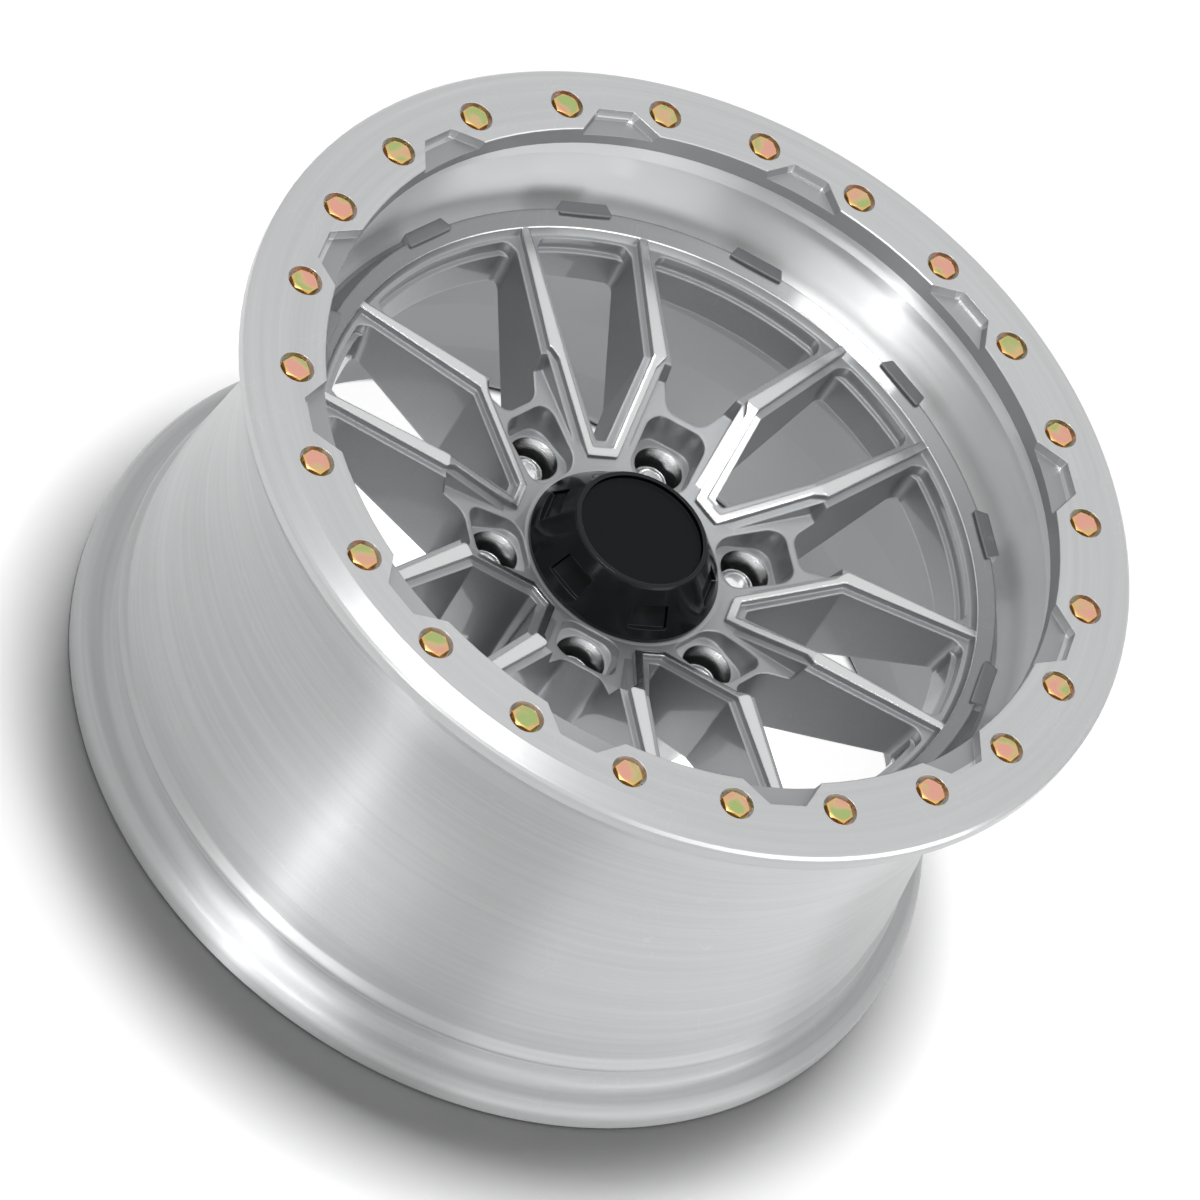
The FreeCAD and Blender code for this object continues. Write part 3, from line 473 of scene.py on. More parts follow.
def makeSilver():
    ribbons, wells = makeRibbonGroup(), makeWellGroup()
    material, tree, shader = newMaterial("silverPaint")
    place = useGroup(tree, placeGroup)
    point = place.outputs["Point"]
    rounded = roundedNormal(tree, silverPaint["round"])
    edgeWearGlint = useGroup(tree, edgeWearGlintGroup, {"Rounded": rounded, "Gain": silverPaint["edgeGain"]})
    scratches = useGroup(tree, scratchGroup, silverPaint["scratches"])
    ribbon = useGroup(tree, ribbons).outputs["Mask"]
    well, depth = useGroup(tree, wells).outputs
    flakes = noise(tree, point, silverPaint["flakeScale"], 1.0)
    cloud = noise(tree, point, silverPaint["cloudScale"], 3.0)
    grooves = addNode(tree, "ShaderNodeTexNoise", {"Scale": silverPaint["grooveScale"], "Detail": 3.0},
                      noise_dimensions="1D")
    tree.links.new(depth, grooves.inputs["W"])
    grooves = grooves.outputs["Fac"]

    # Rounded edges turn lighter: edge wear together with a painted glint
    color = mixColor(tree, edgeWearGlint.outputs["Mask"], silverPaint["paint"], silverPaint["edge"])
    speckle = spread(tree, flakes, *silverPaint["flakeRange"], 0.0, silverPaint["flakeTint"])
    color = mixColor(tree, speckle, color, silverPaint["edge"])
    # Towards the outer edge the paint is darkened: a painted shade on the land
    outer = spread(tree, place.outputs["Radius"], silverPaint["landRadius"] - silverPaint["landBlend"],
                   silverPaint["landRadius"], 0.0, 1.0)
    color = mixColor(tree, outer, color, silverPaint["land"])
    color = mixColor(tree, scratches.outputs["Mask"], color, silverPaint["bare"])
    color = mixColor(tree, ribbon, color, silverPaint["bare"])
    color = mixColor(tree, well, color, mixColor(tree, grooves, silverPaint["wellGroove"], silverPaint["well"]))
    rough = mixValue(tree, ribbon, vary(tree, cloud, *silverPaint["roughness"]), silverPaint["bareRoughness"])
    rough = mixValue(tree, well, rough, silverPaint["wellRoughness"])
    grain = mixValue(tree, well, times(tree, flakes, silverPaint["flakeHeight"]), grooves)
    bump = addNode(tree, "ShaderNodeBump", {"Strength": silverPaint["grainStrength"],
                                            "Distance": silverPaint["grainDepth"], "Height": grain, "Normal": rounded})
    metal = mixValue(tree, mathNode(tree, "MAXIMUM", ribbon, well), silverPaint["metallic"], 1.0)
    setInputs(tree, shader, {
        "Base Color": color, "Roughness": rough, "Metallic": metal, "Normal": bump.outputs["Normal"],
        "Coat Weight": silverPaint["coat"], "Coat Roughness": silverPaint["coatRoughness"]})
    return material


# Turned aluminium of the rim and the ring: fine lathe rings, streaks along them, a thin clear coat
turnedMetal = {
    "bright": (0.55, 0.555, 0.56), "dull": (0.50, 0.505, 0.51), "scratched": (0.85, 0.85, 0.85),
    "marks": {"Pitch": 1700.0, "Streak Length": 0.004}, "scratches": {"Scale": 110.0, "Amount": 0.10},
    "streakRange": (0.32, 0.68), "roughnessSpread": 0.03, "markStrength": 0.10, "markDepth": 0.1 * mm,
    "coat": 0.25, "coatRoughness": 0.10, "anisotropyTurn": 0.25,
    "rimRoughness": 0.45, "rimAnisotropy": 1.0,
    "ringRoughness": 0.30, "ringAnisotropy": 0.60, "ringRound": 0.5 * mm,
    "channel": (0.88, 0.885, 0.89),
    "inside": (0.36, 0.365, 0.37), "insideRoughness": 0.42, "insideSetback": 80 * mm,
    "notch": (0.34, 0.345, 0.35), "notchRadius": 205.4 * mm, "notchDrop": 0.6 * mm, "notchRoughness": 0.52,
    "pocket": (0.80, 0.80, 0.80), "pockets": 24, "pocketCircle": 211.0 * mm, "pocketPhase": 7.5,
    "pocketRadius": 8.9 * mm, "pocketDrop": 0.05 * mm,
}


# Faces that look to the axis: in the channel polished and lightened with a painted reflection, behind the spokes darker
def tintRim(tree, place, color, rough):
    facing = addNode(tree, "ShaderNodeNewGeometry").outputs["Normal"]
    outward = addNode(tree, "ShaderNodeVectorMath", {0: facing, 1: place.outputs["Point"]}, operation="DOT_PRODUCT")
    upward = times(tree, addNode(tree, "ShaderNodeSeparateXYZ", {0: facing}).outputs[2], place.outputs["Height"])
    inward = below(tree, minus(tree, outward.outputs["Value"], upward), 0.0)
    behind = below(tree, place.outputs["Height"], wheelDepth - turnedMetal["insideSetback"])
    inner = times(tree, inward, behind)
    color = mixColor(tree, minus(tree, inward, inner), color, turnedMetal["channel"])
    color = mixColor(tree, inner, color, turnedMetal["inside"])
    return color, mixValue(tree, inner, rough, turnedMetal["insideRoughness"])


# The recesses in the ring's inner edge are darker and rougher than its face; its bolt pockets are lightened, a painted
# light against the shade in them
def tintRing(tree, place, color, rough):
    within = below(tree, place.outputs["Radius"], turnedMetal["notchRadius"])
    notch = times(tree, within, below(tree, place.outputs["Height"], wheelDepth - turnedMetal["notchDrop"]))
    color = mixColor(tree, notch, color, turnedMetal["notch"])
    away = useGroup(tree, nearestGroup, {"Step": math.tau / turnedMetal["pockets"],
                                         "First Angle": math.radians(turnedMetal["pocketPhase"]),
                                         "Circle Radius": turnedMetal["pocketCircle"]}).outputs[0]
    near = below(tree, away, turnedMetal["pocketRadius"])
    pocket = times(tree, near, below(tree, place.outputs["Height"], wheelDepth - turnedMetal["pocketDrop"]))
    color = mixColor(tree, pocket, color, turnedMetal["pocket"])
    return color, mixValue(tree, notch, rough, turnedMetal["notchRoughness"])


def makeTurned(name, roughness, anisotropy, tint, rounding=None):
    material, tree, shader = newMaterial(name)
    place = useGroup(tree, placeGroup)
    rings, streaks = useGroup(tree, turningGroup, turnedMetal["marks"]).outputs
    scratches = useGroup(tree, scratchGroup, turnedMetal["scratches"])
    streak = spread(tree, streaks, *turnedMetal["streakRange"], 0.0, 1.0)
    color = mixColor(tree, streak, turnedMetal["dull"], turnedMetal["bright"])
    color = mixColor(tree, scratches.outputs["Mask"], color, turnedMetal["scratched"])
    rough = vary(tree, streaks, roughness + turnedMetal["roughnessSpread"], roughness - turnedMetal["roughnessSpread"])
    color, rough = tint(tree, place, color, rough)
    bump = addNode(tree, "ShaderNodeBump", {"Strength": turnedMetal["markStrength"],
                                            "Distance": turnedMetal["markDepth"], "Height": rings})
    if rounding:
        setInputs(tree, bump, {"Normal": roundedNormal(tree, rounding)})
    around = addNode(tree, "ShaderNodeTangent", direction_type="RADIAL", axis="Z")
    setInputs(tree, shader, {
        "Base Color": color, "Roughness": rough, "Metallic": 1.0, "Normal": bump.outputs["Normal"],
        "Tangent": around.outputs[0], "Anisotropic": anisotropy, "Anisotropic Rotation": turnedMetal["anisotropyTurn"],
        "Coat Weight": turnedMetal["coat"], "Coat Roughness": turnedMetal["coatRoughness"]})
    return material


# Yellow zinc of bolts and washers: plain on the sides, with green and pink on top where the film is thicker
zinc = {
    "gold": (0.74, 0.44, 0.15), "washer": (0.88, 0.85, 0.78),
    "pink": (0.72, 0.36, 0.28), "green": (0.38, 0.47, 0.18), "pale": (0.62, 0.46, 0.24),
    "filmEnds": (0.34, 0.66), "filmStops": ((0.43, "green"), (0.50, "pale"), (0.57, "pink")),
    "boltFilm": 62.0, "washerFilm": 140.0, "topFrom": 0.90, "topFull": 0.995,
    "roughness": (0.26, 0.36), "grimeScale": 900.0, "grimeStrength": 0.15, "grimeDepth": 0.05 * mm, "round": 0.35 * mm,
}


def makeZinc(name, filmScale, side):
    material, tree, shader = newMaterial(name)
    point = useGroup(tree, placeGroup).outputs["Point"]
    ramp = addNode(tree, "ShaderNodeValToRGB", {"Fac": noise(tree, point, filmScale, 1.5)})
    stops = ramp.color_ramp.elements
    stops[0].position, stops[1].position = zinc["filmEnds"]
    stops[0].color, stops[1].color = (*zinc["green"], 1.0), (*zinc["pink"], 1.0)
    for position, key in zinc["filmStops"]:
        stops.new(position).color = (*zinc[key], 1.0)
    facing = addNode(tree, "ShaderNodeNewGeometry").outputs["Normal"]
    upward = addNode(tree, "ShaderNodeSeparateXYZ", {0: facing}).outputs[2]
    onTop = spread(tree, upward, zinc["topFrom"], zinc["topFull"], 0.0, 1.0)
    grime = noise(tree, point, zinc["grimeScale"])
    bump = addNode(tree, "ShaderNodeBump", {"Strength": zinc["grimeStrength"], "Distance": zinc["grimeDepth"],
                                            "Height": grime, "Normal": roundedNormal(tree, zinc["round"], 4)})
    setInputs(tree, shader, {"Base Color": mixColor(tree, onTop, side, ramp.outputs["Color"]), "Metallic": 1.0,
                             "Roughness": vary(tree, grime, *zinc["roughness"]), "Normal": bump.outputs["Normal"]})
    return material


# Chrome of the lug nuts, a little hazed
chromePlate = {
    "low": (0.80, 0.81, 0.82), "high": (0.90, 0.905, 0.91), "hazeScale": 160.0, "roughness": (0.08, 0.16),
    "scratches": {"Scale": 190.0, "Amount": 0.5}, "round": 0.5 * mm,
}


def makeChrome():
    material, tree, shader = newMaterial("chromePlate")
    haze = noise(tree, useGroup(tree, placeGroup).outputs["Point"], chromePlate["hazeScale"], 4.0)
    scratches = useGroup(tree, scratchGroup, chromePlate["scratches"])
    color = mixColor(tree, vary(tree, haze, 0.0, 1.0), chromePlate["low"], chromePlate["high"])
    rough = mathNode(tree, "ADD", vary(tree, haze, *chromePlate["roughness"]), scratches.outputs["Mask"])
    setInputs(tree, shader, {"Base Color": color, "Roughness": rough, "Metallic": 1.0,
                             "Normal": roundedNormal(tree, chromePlate["round"])})
    return material


# Moulded black plastic: glossy on the cap, matte with a fine grain on its disc
blackPlastic = {
    "color": (0.006, 0.007, 0.008), "wornAndGlint": (0.054, 0.058, 0.062), "edgeGain": 3.0, "grainStrength": 0.4,
    "cap": {"roughness": (0.12, 0.21), "specular": 0.22, "grainScale": 500.0, "grainDepth": 0.02 * mm,
            "round": 0.6 * mm},
    "disc": {"roughness": (0.41, 0.50), "specular": 0.07, "grainScale": 2600.0, "grainDepth": 0.08 * mm,
             "round": 0.3 * mm},
}


def makePlastic(name, finish):
    material, tree, shader = newMaterial(name)
    grain = noise(tree, useGroup(tree, placeGroup).outputs["Point"], finish["grainScale"], 3.0)
    rounded = roundedNormal(tree, finish["round"])
    edgeWearGlint = useGroup(tree, edgeWearGlintGroup, {"Rounded": rounded, "Gain": blackPlastic["edgeGain"]})
    # Rounded edges turn lighter: edge wear together with a painted glint
    color = mixColor(tree, edgeWearGlint.outputs["Mask"], blackPlastic["color"], blackPlastic["wornAndGlint"])
    bump = addNode(tree, "ShaderNodeBump", {"Strength": blackPlastic["grainStrength"], "Distance": finish["grainDepth"],
                                            "Height": grain, "Normal": rounded})
    setInputs(tree, shader, {"Base Color": color, "Roughness": vary(tree, grain, *finish["roughness"]),
                             "Normal": bump.outputs["Normal"], "Specular IOR Level": finish["specular"]})
    return material


# Drawn steel of the spring wire
springSteel = {"low": (0.38, 0.38, 0.39), "high": (0.60, 0.60, 0.61), "roughness": (0.2, 0.34),
               "marks": {"Pitch": 2500.0, "Streak Length": 0.01}}


def makeWire():
    material, tree, shader = newMaterial("springWire")
    streaks = useGroup(tree, turningGroup, springSteel["marks"]).outputs["Streaks"]
    color = mixColor(tree, streaks, springSteel["low"], springSteel["high"])
    rough = vary(tree, streaks, *springSteel["roughness"])
    setInputs(tree, shader, {"Base Color": color, "Roughness": rough, "Metallic": 1.0})
    return material


silver = makeSilver()
rimMetal = makeTurned("turnedRim", turnedMetal["rimRoughness"], turnedMetal["rimAnisotropy"], tintRim)
ringMetal = makeTurned("turnedRing", turnedMetal["ringRoughness"], turnedMetal["ringAnisotropy"], tintRing,
                       turnedMetal["ringRound"])
boltZinc = makeZinc("yellowZincBolts", zinc["boltFilm"], zinc["gold"])
washerZinc = makeZinc("yellowZincWashers", zinc["washerFilm"], zinc["washer"])
chrome = makeChrome()
capBlack = makePlastic("glossBlack", blackPlastic["cap"])
discBlack = makePlastic("matteBlack", blackPlastic["disc"])
wire = makeWire()
print("materials made")

# Rim: barrel, front lip and channel, turned from one outline; radius and setback from the ring's face
rim = {
    "segments": 300, "arcSteps": 8, "flareSteps": 30, "edge": 0.7, "sharpAngle": 35,
    "waistRadius": 208.0, "waistSetback": 125.0, "waistRound": 9.0, "flareRadius": 262.0,
    "wall": 6.5, "insideStart": 8.0, "insideRound": 5.0,
    "neckSetback": 99.5, "neckRound": 3.0, "backSteps": ((10.0, 89.5, 1.5), (13.0, 86.0, 0.0)),
    "seatRadius": 218.3, "seatTop": 11.5, "seatRound": 2.0, "humpRise": 1.9, "humpFoot": 15.5, "humpTop": 17.5,
    "rearRadius": 216.4, "rearFoot": 21.5, "rearSetback": 205.0, "rearRound": 6.0,
    "flangeRadius": 235.7, "flangeThick": 13.5, "flangeRound": 7.0, "flangeWidth": 8.0, "flangeEdge": 1.2,
    "lipRadius": 233.6, "lipBore": 199.5, "lipTop": 12.7, "lipDepth": 12.5, "lipThick": 5.0, "lipNeck": 2.2,
    "landInner": (184.5, 64.0), "landOuter": (192.0, 70.0),
    "channelRadius": 207.0, "channelTaper": 4.0, "channelRound": 8.8, "channelFoot": 62.0, "channelTop": 1.5,
    "channelEdge": 1.0,
    "valveRadius": 5.75, "valveSetback": 46.0, "valveAngle": 126.0, "valveSeat": 10.0, "valveFlat": 216.0,
    "valveSides": 64, "valveInward": 20, "valveOutward": 30,
    "paintRadius": 192.3, "paintSetback": 75.0,
}


def rimOutline():
    depth = wheelDepth / mm
    back, reach = rim["rearSetback"] - rim["waistSetback"], rim["waistRadius"] + rim["flareRadius"] - rim["rearRadius"]
    taper = math.atan2(back, reach) - math.acos(rim["flareRadius"] / math.hypot(back, reach))
    taperPlace = (rim["waistRadius"] + rim["flareRadius"] * (1 - math.cos(taper)),
                  depth - rim["waistSetback"] - rim["flareRadius"] * math.sin(taper))

    def flare(setback):
        away = rim["waistSetback"] - setback
        return rim["waistRadius"] + rim["flareRadius"] - math.sqrt(rim["flareRadius"] ** 2 - away ** 2)

    edge, wall, rear, seat = rim["edge"], rim["wall"], rim["rearRadius"], rim["seatRadius"]
    lipFoot = rim["lipTop"] + rim["lipThick"]
    throat = rim["channelRadius"] - rim["channelTaper"]
    thick, bend, steps = rim["flangeThick"], rim["flangeRound"], rim["arcSteps"]
    (inner, innerSetback), (outer, outerSetback) = rim["landInner"], rim["landOuter"]
    corners = [(inner, depth - innerSetback, 0.0)]
    corners += arcBetween((outer, depth - outerSetback), (throat, depth - rim["channelFoot"]),
                          -rim["channelRound"], steps)
    corners += [
        (rim["channelRadius"], depth - rim["lipTop"] - rim["lipDepth"] - rim["channelTop"], rim["channelEdge"]),
        (rim["lipBore"], depth - rim["lipTop"] - rim["lipDepth"], edge),
        (rim["lipBore"], depth - rim["lipTop"], edge),
        (rim["lipRadius"], depth - rim["lipTop"], edge),
        (rim["lipRadius"], depth - lipFoot, edge),
    ]
    corners += arcBetween((flare(lipFoot + rim["lipNeck"]), depth - lipFoot - rim["lipNeck"]), taperPlace,
                          -rim["flareRadius"], rim["flareSteps"])
    corners += [
        (rear, depth - rim["rearSetback"], rim["rearRound"]),
        (rear, thick + rim["rearFoot"], rim["seatRound"]),
        (seat + rim["humpRise"], thick + rim["humpTop"], rim["seatRound"]),
        (seat + rim["humpRise"], thick + rim["humpFoot"], rim["seatRound"]),
        (seat, thick + rim["seatTop"], rim["seatRound"]),
    ]
    corners += arcBetween((seat, thick + bend), (seat + bend, thick), -bend, steps)
    corners += arcBetween((rim["flangeRadius"] - bend, thick), (rim["flangeRadius"], thick - bend), bend, steps)
    corners += [
        (rim["flangeRadius"], 0.0, rim["flangeEdge"]),
        (rim["flangeRadius"] - rim["flangeWidth"], 0.0, rim["flangeEdge"]),
        (rear - wall, thick + rim["insideStart"], rim["insideRound"]),
        (rear - wall, depth - rim["rearSetback"], rim["insideRound"]),
        (taperPlace[0] - wall, taperPlace[1], rim["waistRound"]),
        (rim["waistRadius"] - wall, depth - rim["waistSetback"], rim["waistRound"]),
        (flare(rim["neckSetback"]) - wall, depth - rim["neckSetback"], rim["neckRound"]),
    ]
    corners += [(throat - inward, depth - setback, rounding) for inward, setback, rounding in rim["backSteps"]]
    return roundedOutline(corners)[::-1]


# Valve hole through the channel wall, with a flat seat outside
def cutValve(piece):
    flat = rim["valveFlat"]
    rings = [roundRing(rim["valveRadius"], rim["channelRadius"] - rim["valveInward"]),
             roundRing(rim["valveRadius"], flat), roundRing(rim["valveSeat"], flat),
             roundRing(rim["valveSeat"], flat + rim["valveOutward"])]
    angles = [math.tau * n / rim["valveSides"] for n in range(rim["valveSides"])]
    tool = addObject("valveTool", ringedMesh("valveTool", rings, angles))
    tool.data.transform(Matrix.Rotation(math.radians(rim["valveAngle"]), 4, "Z")
                        @ Matrix.Translation((0, 0, wheelDepth - rim["valveSetback"] * mm))
                        @ Matrix.Rotation(math.pi / 2, 4, "Y"))
    tool.data.materials.append(rimMetal)
    modifier = piece.modifiers.new("valveHole", "BOOLEAN")
    modifier.operation = "DIFFERENCE"
    modifier.solver = "EXACT"
    modifier.object = tool
    applyModifiers(piece)
    bpy.data.objects.remove(tool)
    markEdges(piece, rim["sharpAngle"])


# The land inside the channel is painted like the spokes
def paintLand(piece):
    piece.data.materials.append(silver)
    for face in piece.data.polygons:
        radius = math.hypot(face.center.x, face.center.y)
        if radius < rim["paintRadius"] * mm and face.center.z > wheelDepth - rim["paintSetback"] * mm:
            face.material_index = len(piece.data.materials) - 1


rimPiece = turnPiece("turnedRim", rimOutline(), rim["segments"], rimMetal)
cutValve(rimPiece)
paintLand(rimPiece)
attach(rimPiece, "root")
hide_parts("wheel_casting")
print("rim turned:", len(rimPiece.data.polygons), "faces")

# Spokes and hub: the cast middle, taken from the casting where the turned rim ends
centre = {
    "wallRadius": 187.05 * mm,
    "tabRadius": 191.0 * mm, "tabSetback": 60.0 * mm,
    "backRadius": 193.2 * mm, "backSetback": 80.0 * mm,
}


def belongsToCentre(point):
    radius = math.hypot(point.x, point.y)
    setback = wheelDepth - point.z
    return (radius < centre["wallRadius"] or (setback < centre["tabSetback"] and radius < centre["tabRadius"])
            or (setback > centre["backSetback"] and radius < centre["backRadius"]))


# Each face remembers the one it was copied from, so that the merged copy keeps the exact normals
def makeCentre():
    source = nodes["wheel_casting"].data
    normals = [corner.vector.copy() for corner in source.corner_normals]
    work = bmesh.new()
    work.from_mesh(source)
    origin = work.faces.layers.int.new("origin")
    for face in work.faces:
        face[origin] = face.index
    bmesh.ops.remove_doubles(work, verts=work.verts[:], dist=mergeDistance)
    outside = [face for face in work.faces if not belongsToCentre(face.calc_center_median())]
    bmesh.ops.delete(work, geom=outside, context="FACES")
    mesh = bpy.data.meshes.new("spokeCentre")
    work.to_mesh(mesh)
    work.free()
    mesh.shade_smooth()
    kept = []
    for face in mesh.polygons:
        first = source.polygons[mesh.attributes["origin"].data[face.index].value]
        corners = [(source.vertices[source.loops[n].vertex_index].co, normals[n]) for n in first.loop_indices]
        for vertex in face.vertices:
            place = mesh.vertices[vertex].co
            kept.append(min(corners, key=lambda corner: (corner[0] - place).length_squared)[1])
    mesh.normals_split_custom_set(kept)
    mesh.attributes.remove(mesh.attributes["origin"])
    mesh.materials.clear()
    mesh.materials.append(silver)
    return addObject("spokeCentre", mesh)


centrePiece = makeCentre()
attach(centrePiece, "root")
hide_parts("wheel_casting")
print("spokes and hub:", len(centrePiece.data.polygons), "faces")

# Ring bolts: hexagon heads with a cone chamfer, every head turned almost alike
bolt = {
    "count": 24, "circle": 211.0, "phase": 7.5,
    "across": 12.7, "head": 5.4, "chamferFrom": 5.6, "chamferSlope": 0.52,
    "middleShare": 0.5, "topRound": 0.25, "topDrop": 0.05, "cornerRound": 0.18, "cornerDrop": 0.12,
    "shank": 3.9, "reach": 18.0, "tip": 0.8,
    "turn": 4.0, "wobble": 3.0, "seed": 4, "sides": 72, "sharpAngle": 20,
}


# The top of the head lies at height 0
def makeBolts():
    angles = [math.radians(360 * step / bolt["sides"]) for step in range(bolt["sides"])]
    edge = bolt["chamferFrom"]

    def coneHeight(radius):
        return -bolt["chamferSlope"] * max(0.0, radius - edge)

    rings = [
        roundRing(edge * bolt["middleShare"], 0.0),
        roundRing(edge - bolt["topRound"], 0.0),
        roundRing(edge + bolt["topDrop"], -bolt["topDrop"]),
        hexRing(bolt["across"], coneHeight, drawnIn=bolt["cornerRound"]),
        hexRing(bolt["across"], coneHeight, drop=bolt["cornerDrop"]),
        hexRing(bolt["across"], lambda radius: -bolt["head"]),
        roundRing(bolt["shank"], -bolt["head"]),
        roundRing(bolt["shank"], -bolt["reach"] + bolt["tip"]),
        roundRing(bolt["shank"] - bolt["tip"], -bolt["reach"]),
    ]
    piece = addObject("ringBolts", ringedMesh("ringBolts", rings, angles))
    piece.data.transform(Matrix.Rotation(math.radians(bolt["turn"]), 4, "Z"))
    applyTree(piece, circleTree, {
        "Count": bolt["count"], "Circle Radius": bolt["circle"] * mm, "First Angle": math.radians(bolt["phase"]),
        "Height": wheelDepth, "Wobble": math.radians(bolt["wobble"]), "Seed": bolt["seed"], "Material": boltZinc})
    markEdges(piece, bolt["sharpAngle"])
    return piece


# Washers under the heads, with rounded rims
washer = {"outer": 8.1, "inner": 4.3, "thick": 1.5, "round": 0.35, "seam": 1.5, "segments": 48, "sharpAngle": 40}


def makeWashers():
    low, edge = -washer["thick"], washer["round"]
    seam = (washer["inner"] + washer["seam"], low, 0.0)  # the outline starts and ends on the underside
    corners = [seam, (washer["outer"], low, edge), (washer["outer"], 0.0, edge), (washer["inner"], 0.0, edge),
               (washer["inner"], low, edge), seam]
    piece = turnPiece("ringWashers", roundedOutline(corners, steps=3), washer["segments"], washerZinc)
    applyTree(piece, circleTree, {
        "Count": bolt["count"], "Circle Radius": bolt["circle"] * mm, "First Angle": math.radians(bolt["phase"]),
        "Height": wheelDepth - bolt["head"] * mm, "Material": washerZinc})
    markEdges(piece, washer["sharpAngle"])
    return piece


boltPiece = makeBolts()
washerPiece = makeWashers()
for piece, node in ((boltPiece, "ring_bolts"), (washerPiece, "ring_washers")):
    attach(piece, "root")
    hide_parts(node)
print("bolts and washers set")

# Lug nuts: closed ends, long hexagon, collar and a conical seat
nut = {
    "count": 6, "circle": 69.85,
    "seatSetback": 145.0, "seatTop": 11.6, "seatAngle": 30, "foot": 8.4,
    "collar": 11.3, "collarHeight": 2.5, "collarRound": 0.4, "collarFillet": 0.3,
    "across": 19.05, "length": 43.0, "cornerRound": 0.35, "cornerDrop": 0.3,
    "crown": 5.0, "crownFlat": 0.35, "crownPower": 2.2, "crownShares": (0.06, 0.3, 0.5, 0.65, 0.8, 0.9),
    "thread": 6.2, "threadDepth": 27.0, "threadEntry": 0.6, "drillShare": 0.3, "drillTip": 1.5,
    "wobble": 20, "seed": 7, "sides": 90, "sharpAngle": 24,
}


def makeNuts():
    slope = math.tan(math.radians(nut["seatAngle"]))
    seat = wheelDepth / mm - nut["seatSetback"]
    foot = seat - (nut["seatTop"] - nut["foot"]) / slope
    collarLow = seat - (nut["seatTop"] - nut["collar"]) / slope
    collarTop = collarLow + nut["collarHeight"]
    top = foot + nut["length"]
    corner = nut["across"] / math.sqrt(3)
    flat = nut["across"] / 2

    # The closed end: nearly flat in the middle, then a rounded fall to the flats and a steeper one to the corners
    def crownHeight(radius):
        level = flat * nut["crownFlat"]
        share = max(0.0, radius - level) / (corner - level)
        return top - nut["crown"] * share ** nut["crownPower"]

    angles = [math.radians(360 * step / nut["sides"]) for step in range(nut["sides"])]
    rings = [roundRing(flat * share, crownHeight(flat * share)) for share in nut["crownShares"]]
    rings += [
        hexRing(nut["across"], crownHeight, drawnIn=nut["cornerRound"]),
        hexRing(nut["across"], crownHeight, drop=nut["cornerDrop"]),
        hexRing(nut["across"], lambda radius: collarTop + nut["collarFillet"]),
        hexRing(nut["across"], lambda radius: collarTop),
        roundRing(nut["collar"] - nut["collarRound"], collarTop),
        roundRing(nut["collar"], collarTop - nut["collarRound"]),
        roundRing(nut["collar"], collarLow),
        roundRing(nut["foot"], foot),
        roundRing(nut["thread"] + nut["threadEntry"], foot),
        roundRing(nut["thread"], foot + nut["threadEntry"]),
        roundRing(nut["thread"], foot + nut["threadDepth"]),
        roundRing(nut["thread"] * nut["drillShare"], foot + nut["threadDepth"] + nut["drillTip"]),
    ]
    piece = addObject("lugNuts", ringedMesh("lugNuts", rings, angles))
    applyTree(piece, circleTree, {
        "Count": nut["count"], "Circle Radius": nut["circle"] * mm, "Follow": 1.0,
        "Wobble": math.radians(nut["wobble"]), "Seed": nut["seed"], "Material": chrome})
    markEdges(piece, nut["sharpAngle"])
    return piece


nutPiece = makeNuts()
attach(nutPiece, "root")
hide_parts("lug_nuts")
print("lug nuts set")

# Disc of the cap: bare, slightly crowned, with a turned-up rim
disc = {
    "radius": 32.6, "thick": 1.4, "dish": 0.45, "edge": 0.2, "outerEdge": 0.25, "segments": 120,
    "rim": 0.9, "rimSlope": 0.4, "crown": 0.35, "crownMargin": 2.0, "crownSteps": 8, "middle": 0.02,
}


def makeDisc():
    low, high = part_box("cap_disc")
    base, top = low.z / mm, high.z / mm
    face = base + disc["thick"] - disc["dish"]
    outer, edge, steps = disc["radius"], disc["edge"], disc["crownSteps"]
    corners = [(disc["middle"], base, 0.0), (outer, base, edge), (outer, top, disc["outerEdge"]),
               (outer - disc["rim"], top, edge), (outer - disc["rim"] - disc["rimSlope"], face, edge)]
    for step in range(1, steps):
        radius = (outer - disc["crownMargin"]) * (1 - step / steps)
        corners.append((radius, face + disc["crown"] * (1 - (radius / outer) ** 2), 0.0))
    corners.append((disc["middle"], face + disc["crown"], 0.0))
    return turnPiece("capDisc", roundedOutline(corners, steps=3), disc["segments"], discBlack)


discPiece = makeDisc()
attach(discPiece, "root")
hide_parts("cap_disc")

# CAD nodes that stay: the ring, the cap and its wire
for name, material in (("beadlock_ring", ringMetal), ("centre_cap", capBlack), ("cap_clip_ring", wire)):
    for materialSlot in nodes[name].material_slots:
        materialSlot.material = material
print("ring, cap and wire finished")

# Plain floor and backdrop: white to the eye, with the wheel's soft shadow; lamps at a plain level
# A lift is a glow of the floor that matt surfaces don't catch: slight outside, nearly white inside the barrel, where it
# is painted light that hides the wheel's shadow on the floor
studio = {
    "floorSize": 14.0, "floorDrop": 0.5 * mm,
    "floorColor": 0.84, "floorRoughness": 0.9,
    "seenColor": 1.0, "seenLift": 0.02,
    "insidePaintedLight": 0.95, "insideRadius": 227 * mm, "insideFade": 4 * mm,
    "worldStrength": 0.09,
    "overheadPlace": (0.95, 0.44, 2.95), "overheadSize": (1.3, 0.5), "overheadPower": 36.0,
    "frontPlace": (2.36, 1.46, 1.05), "frontSize": (0.30, 1.2), "frontPower": 10.0,
    "sidePlace": (-1.30, 2.40, 1.30), "sideSize": (4.0, 1.2), "sidePower": 32.0,
    "shadowPlace": (-0.45, -0.74, 6.0), "shadowSize": (1.25, 1.25), "shadowPower": 345.0,
}


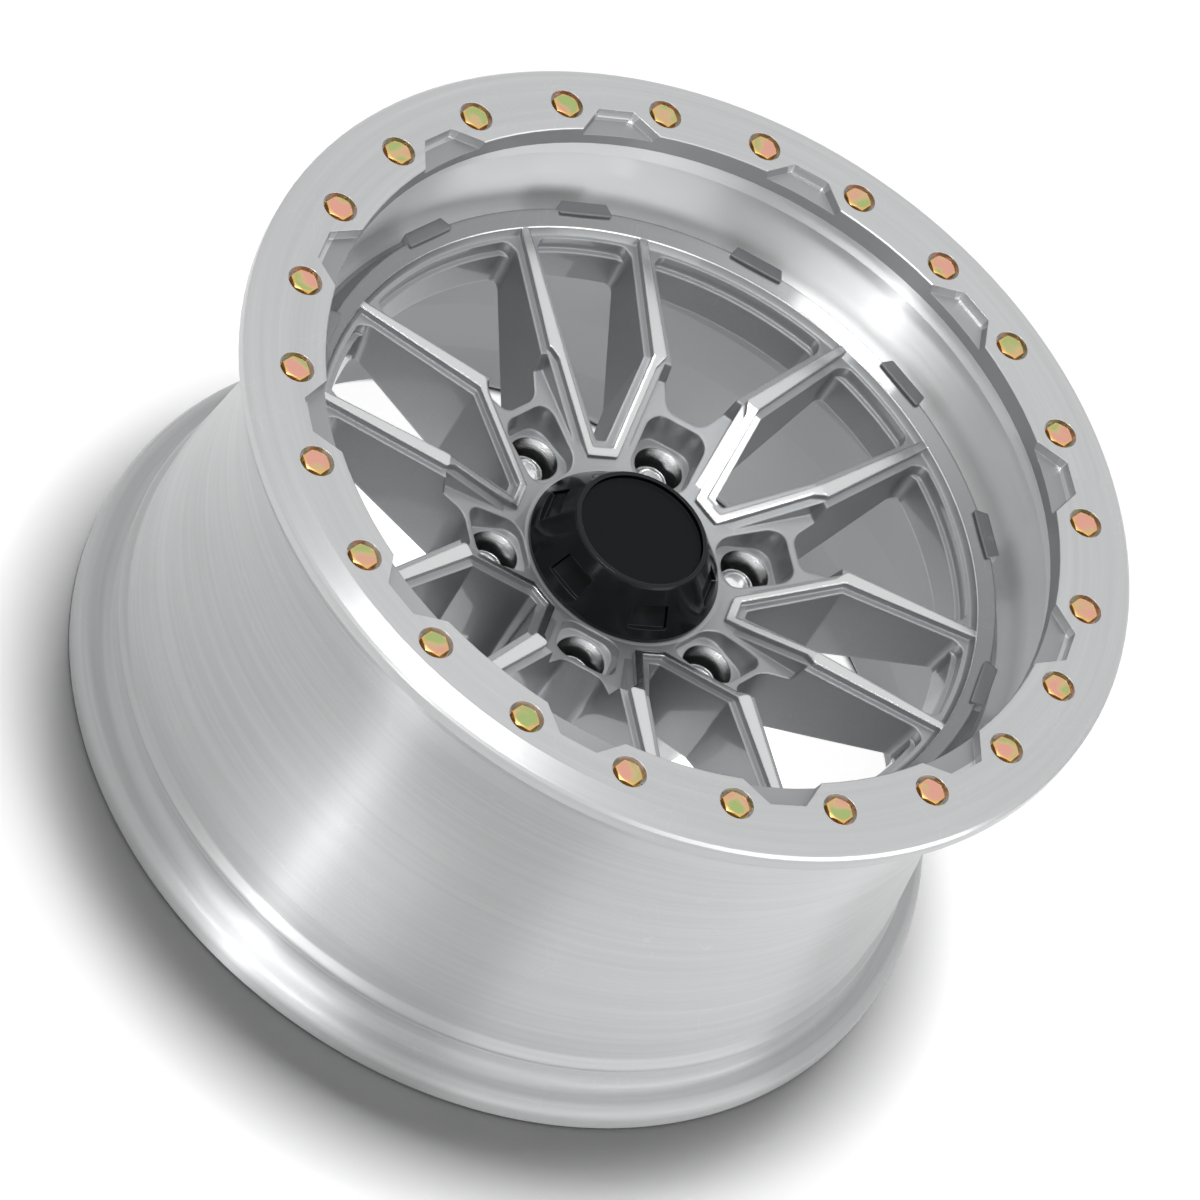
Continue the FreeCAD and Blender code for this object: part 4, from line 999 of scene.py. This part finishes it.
# Seen by the camera, in metal or through glass, but not by light that comes off a matt surface first
def seenMask(tree):
    rays = addNode(tree, "ShaderNodeLightPath").outputs
    seen = mathNode(tree, "MAXIMUM", mathNode(tree, "MAXIMUM", rays["Is Camera Ray"], rays["Is Glossy Ray"]),
                    rays["Is Transmission Ray"])
    return times(tree, seen, below(tree, rays["Diffuse Depth"], 0.5))


def makeStage():
    mesh = bpy.data.meshes.new("studioFloor")
    half = studio["floorSize"] / 2
    mesh.from_pydata([(-half, -half, 0), (half, -half, 0), (half, half, 0), (-half, half, 0)], [], [(0, 1, 2, 3)])
    floor = addObject("studioFloor", mesh)
    floor.location.z = -studio["floorDrop"]
    material, tree, shader = newMaterial("floorWhite")
    seen = seenMask(tree)
    tint = mixColor(tree, seen, (studio["floorColor"],) * 3, (studio["seenColor"],) * 3)
    around = useGroup(tree, placeGroup).outputs["Radius"]
    # Inside the barrel the floor glows nearly white: painted light over the wheel's shadow
    lift = spread(tree, around, studio["insideRadius"] - studio["insideFade"], studio["insideRadius"],
                  studio["insidePaintedLight"], studio["seenLift"])
    setInputs(tree, shader, {"Base Color": tint, "Roughness": studio["floorRoughness"], "Specular IOR Level": 0.0,
                             "Emission Color": (1, 1, 1, 1), "Emission Strength": times(tree, seen, lift)})
    mesh.materials.append(material)
    world = bpy.data.worlds.new("studio")
    world.use_nodes = True
    tree = world.node_tree
    strength = spread(tree, seenMask(tree), 0.0, 1.0, studio["worldStrength"], 1.0)
    setInputs(tree, tree.nodes["Background"], {"Color": (1, 1, 1, 1), "Strength": strength})
    scene.world = world


# A lamp is seen either in gloss, where it makes a highlight, or by matt surfaces, where it throws the shadow
def areaLight(name, onMatte):
    data = bpy.data.lights.new(name + "Light", "AREA")
    data.shape = "RECTANGLE"
    data.size, data.size_y = studio[name + "Size"]
    data.energy = studio[name + "Power"]
    light = bpy.data.objects.new(name + "Light", data)
    scene.collection.objects.link(light)
    light.visible_camera = False
    light.visible_diffuse = onMatte
    light.visible_glossy = not onMatte
    place = Vector(studio[name + "Place"])
    away = Vector((0, 0, wheelDepth / 2)) - place
    light.matrix_world = Matrix.Translation(place) @ away.to_track_quat("-Z", "Y").to_matrix().to_4x4()


makeStage()
for name, onMatte in (("overhead", False), ("front", False), ("side", False), ("shadow", True)):
    areaLight(name, onMatte)
print("studio set")
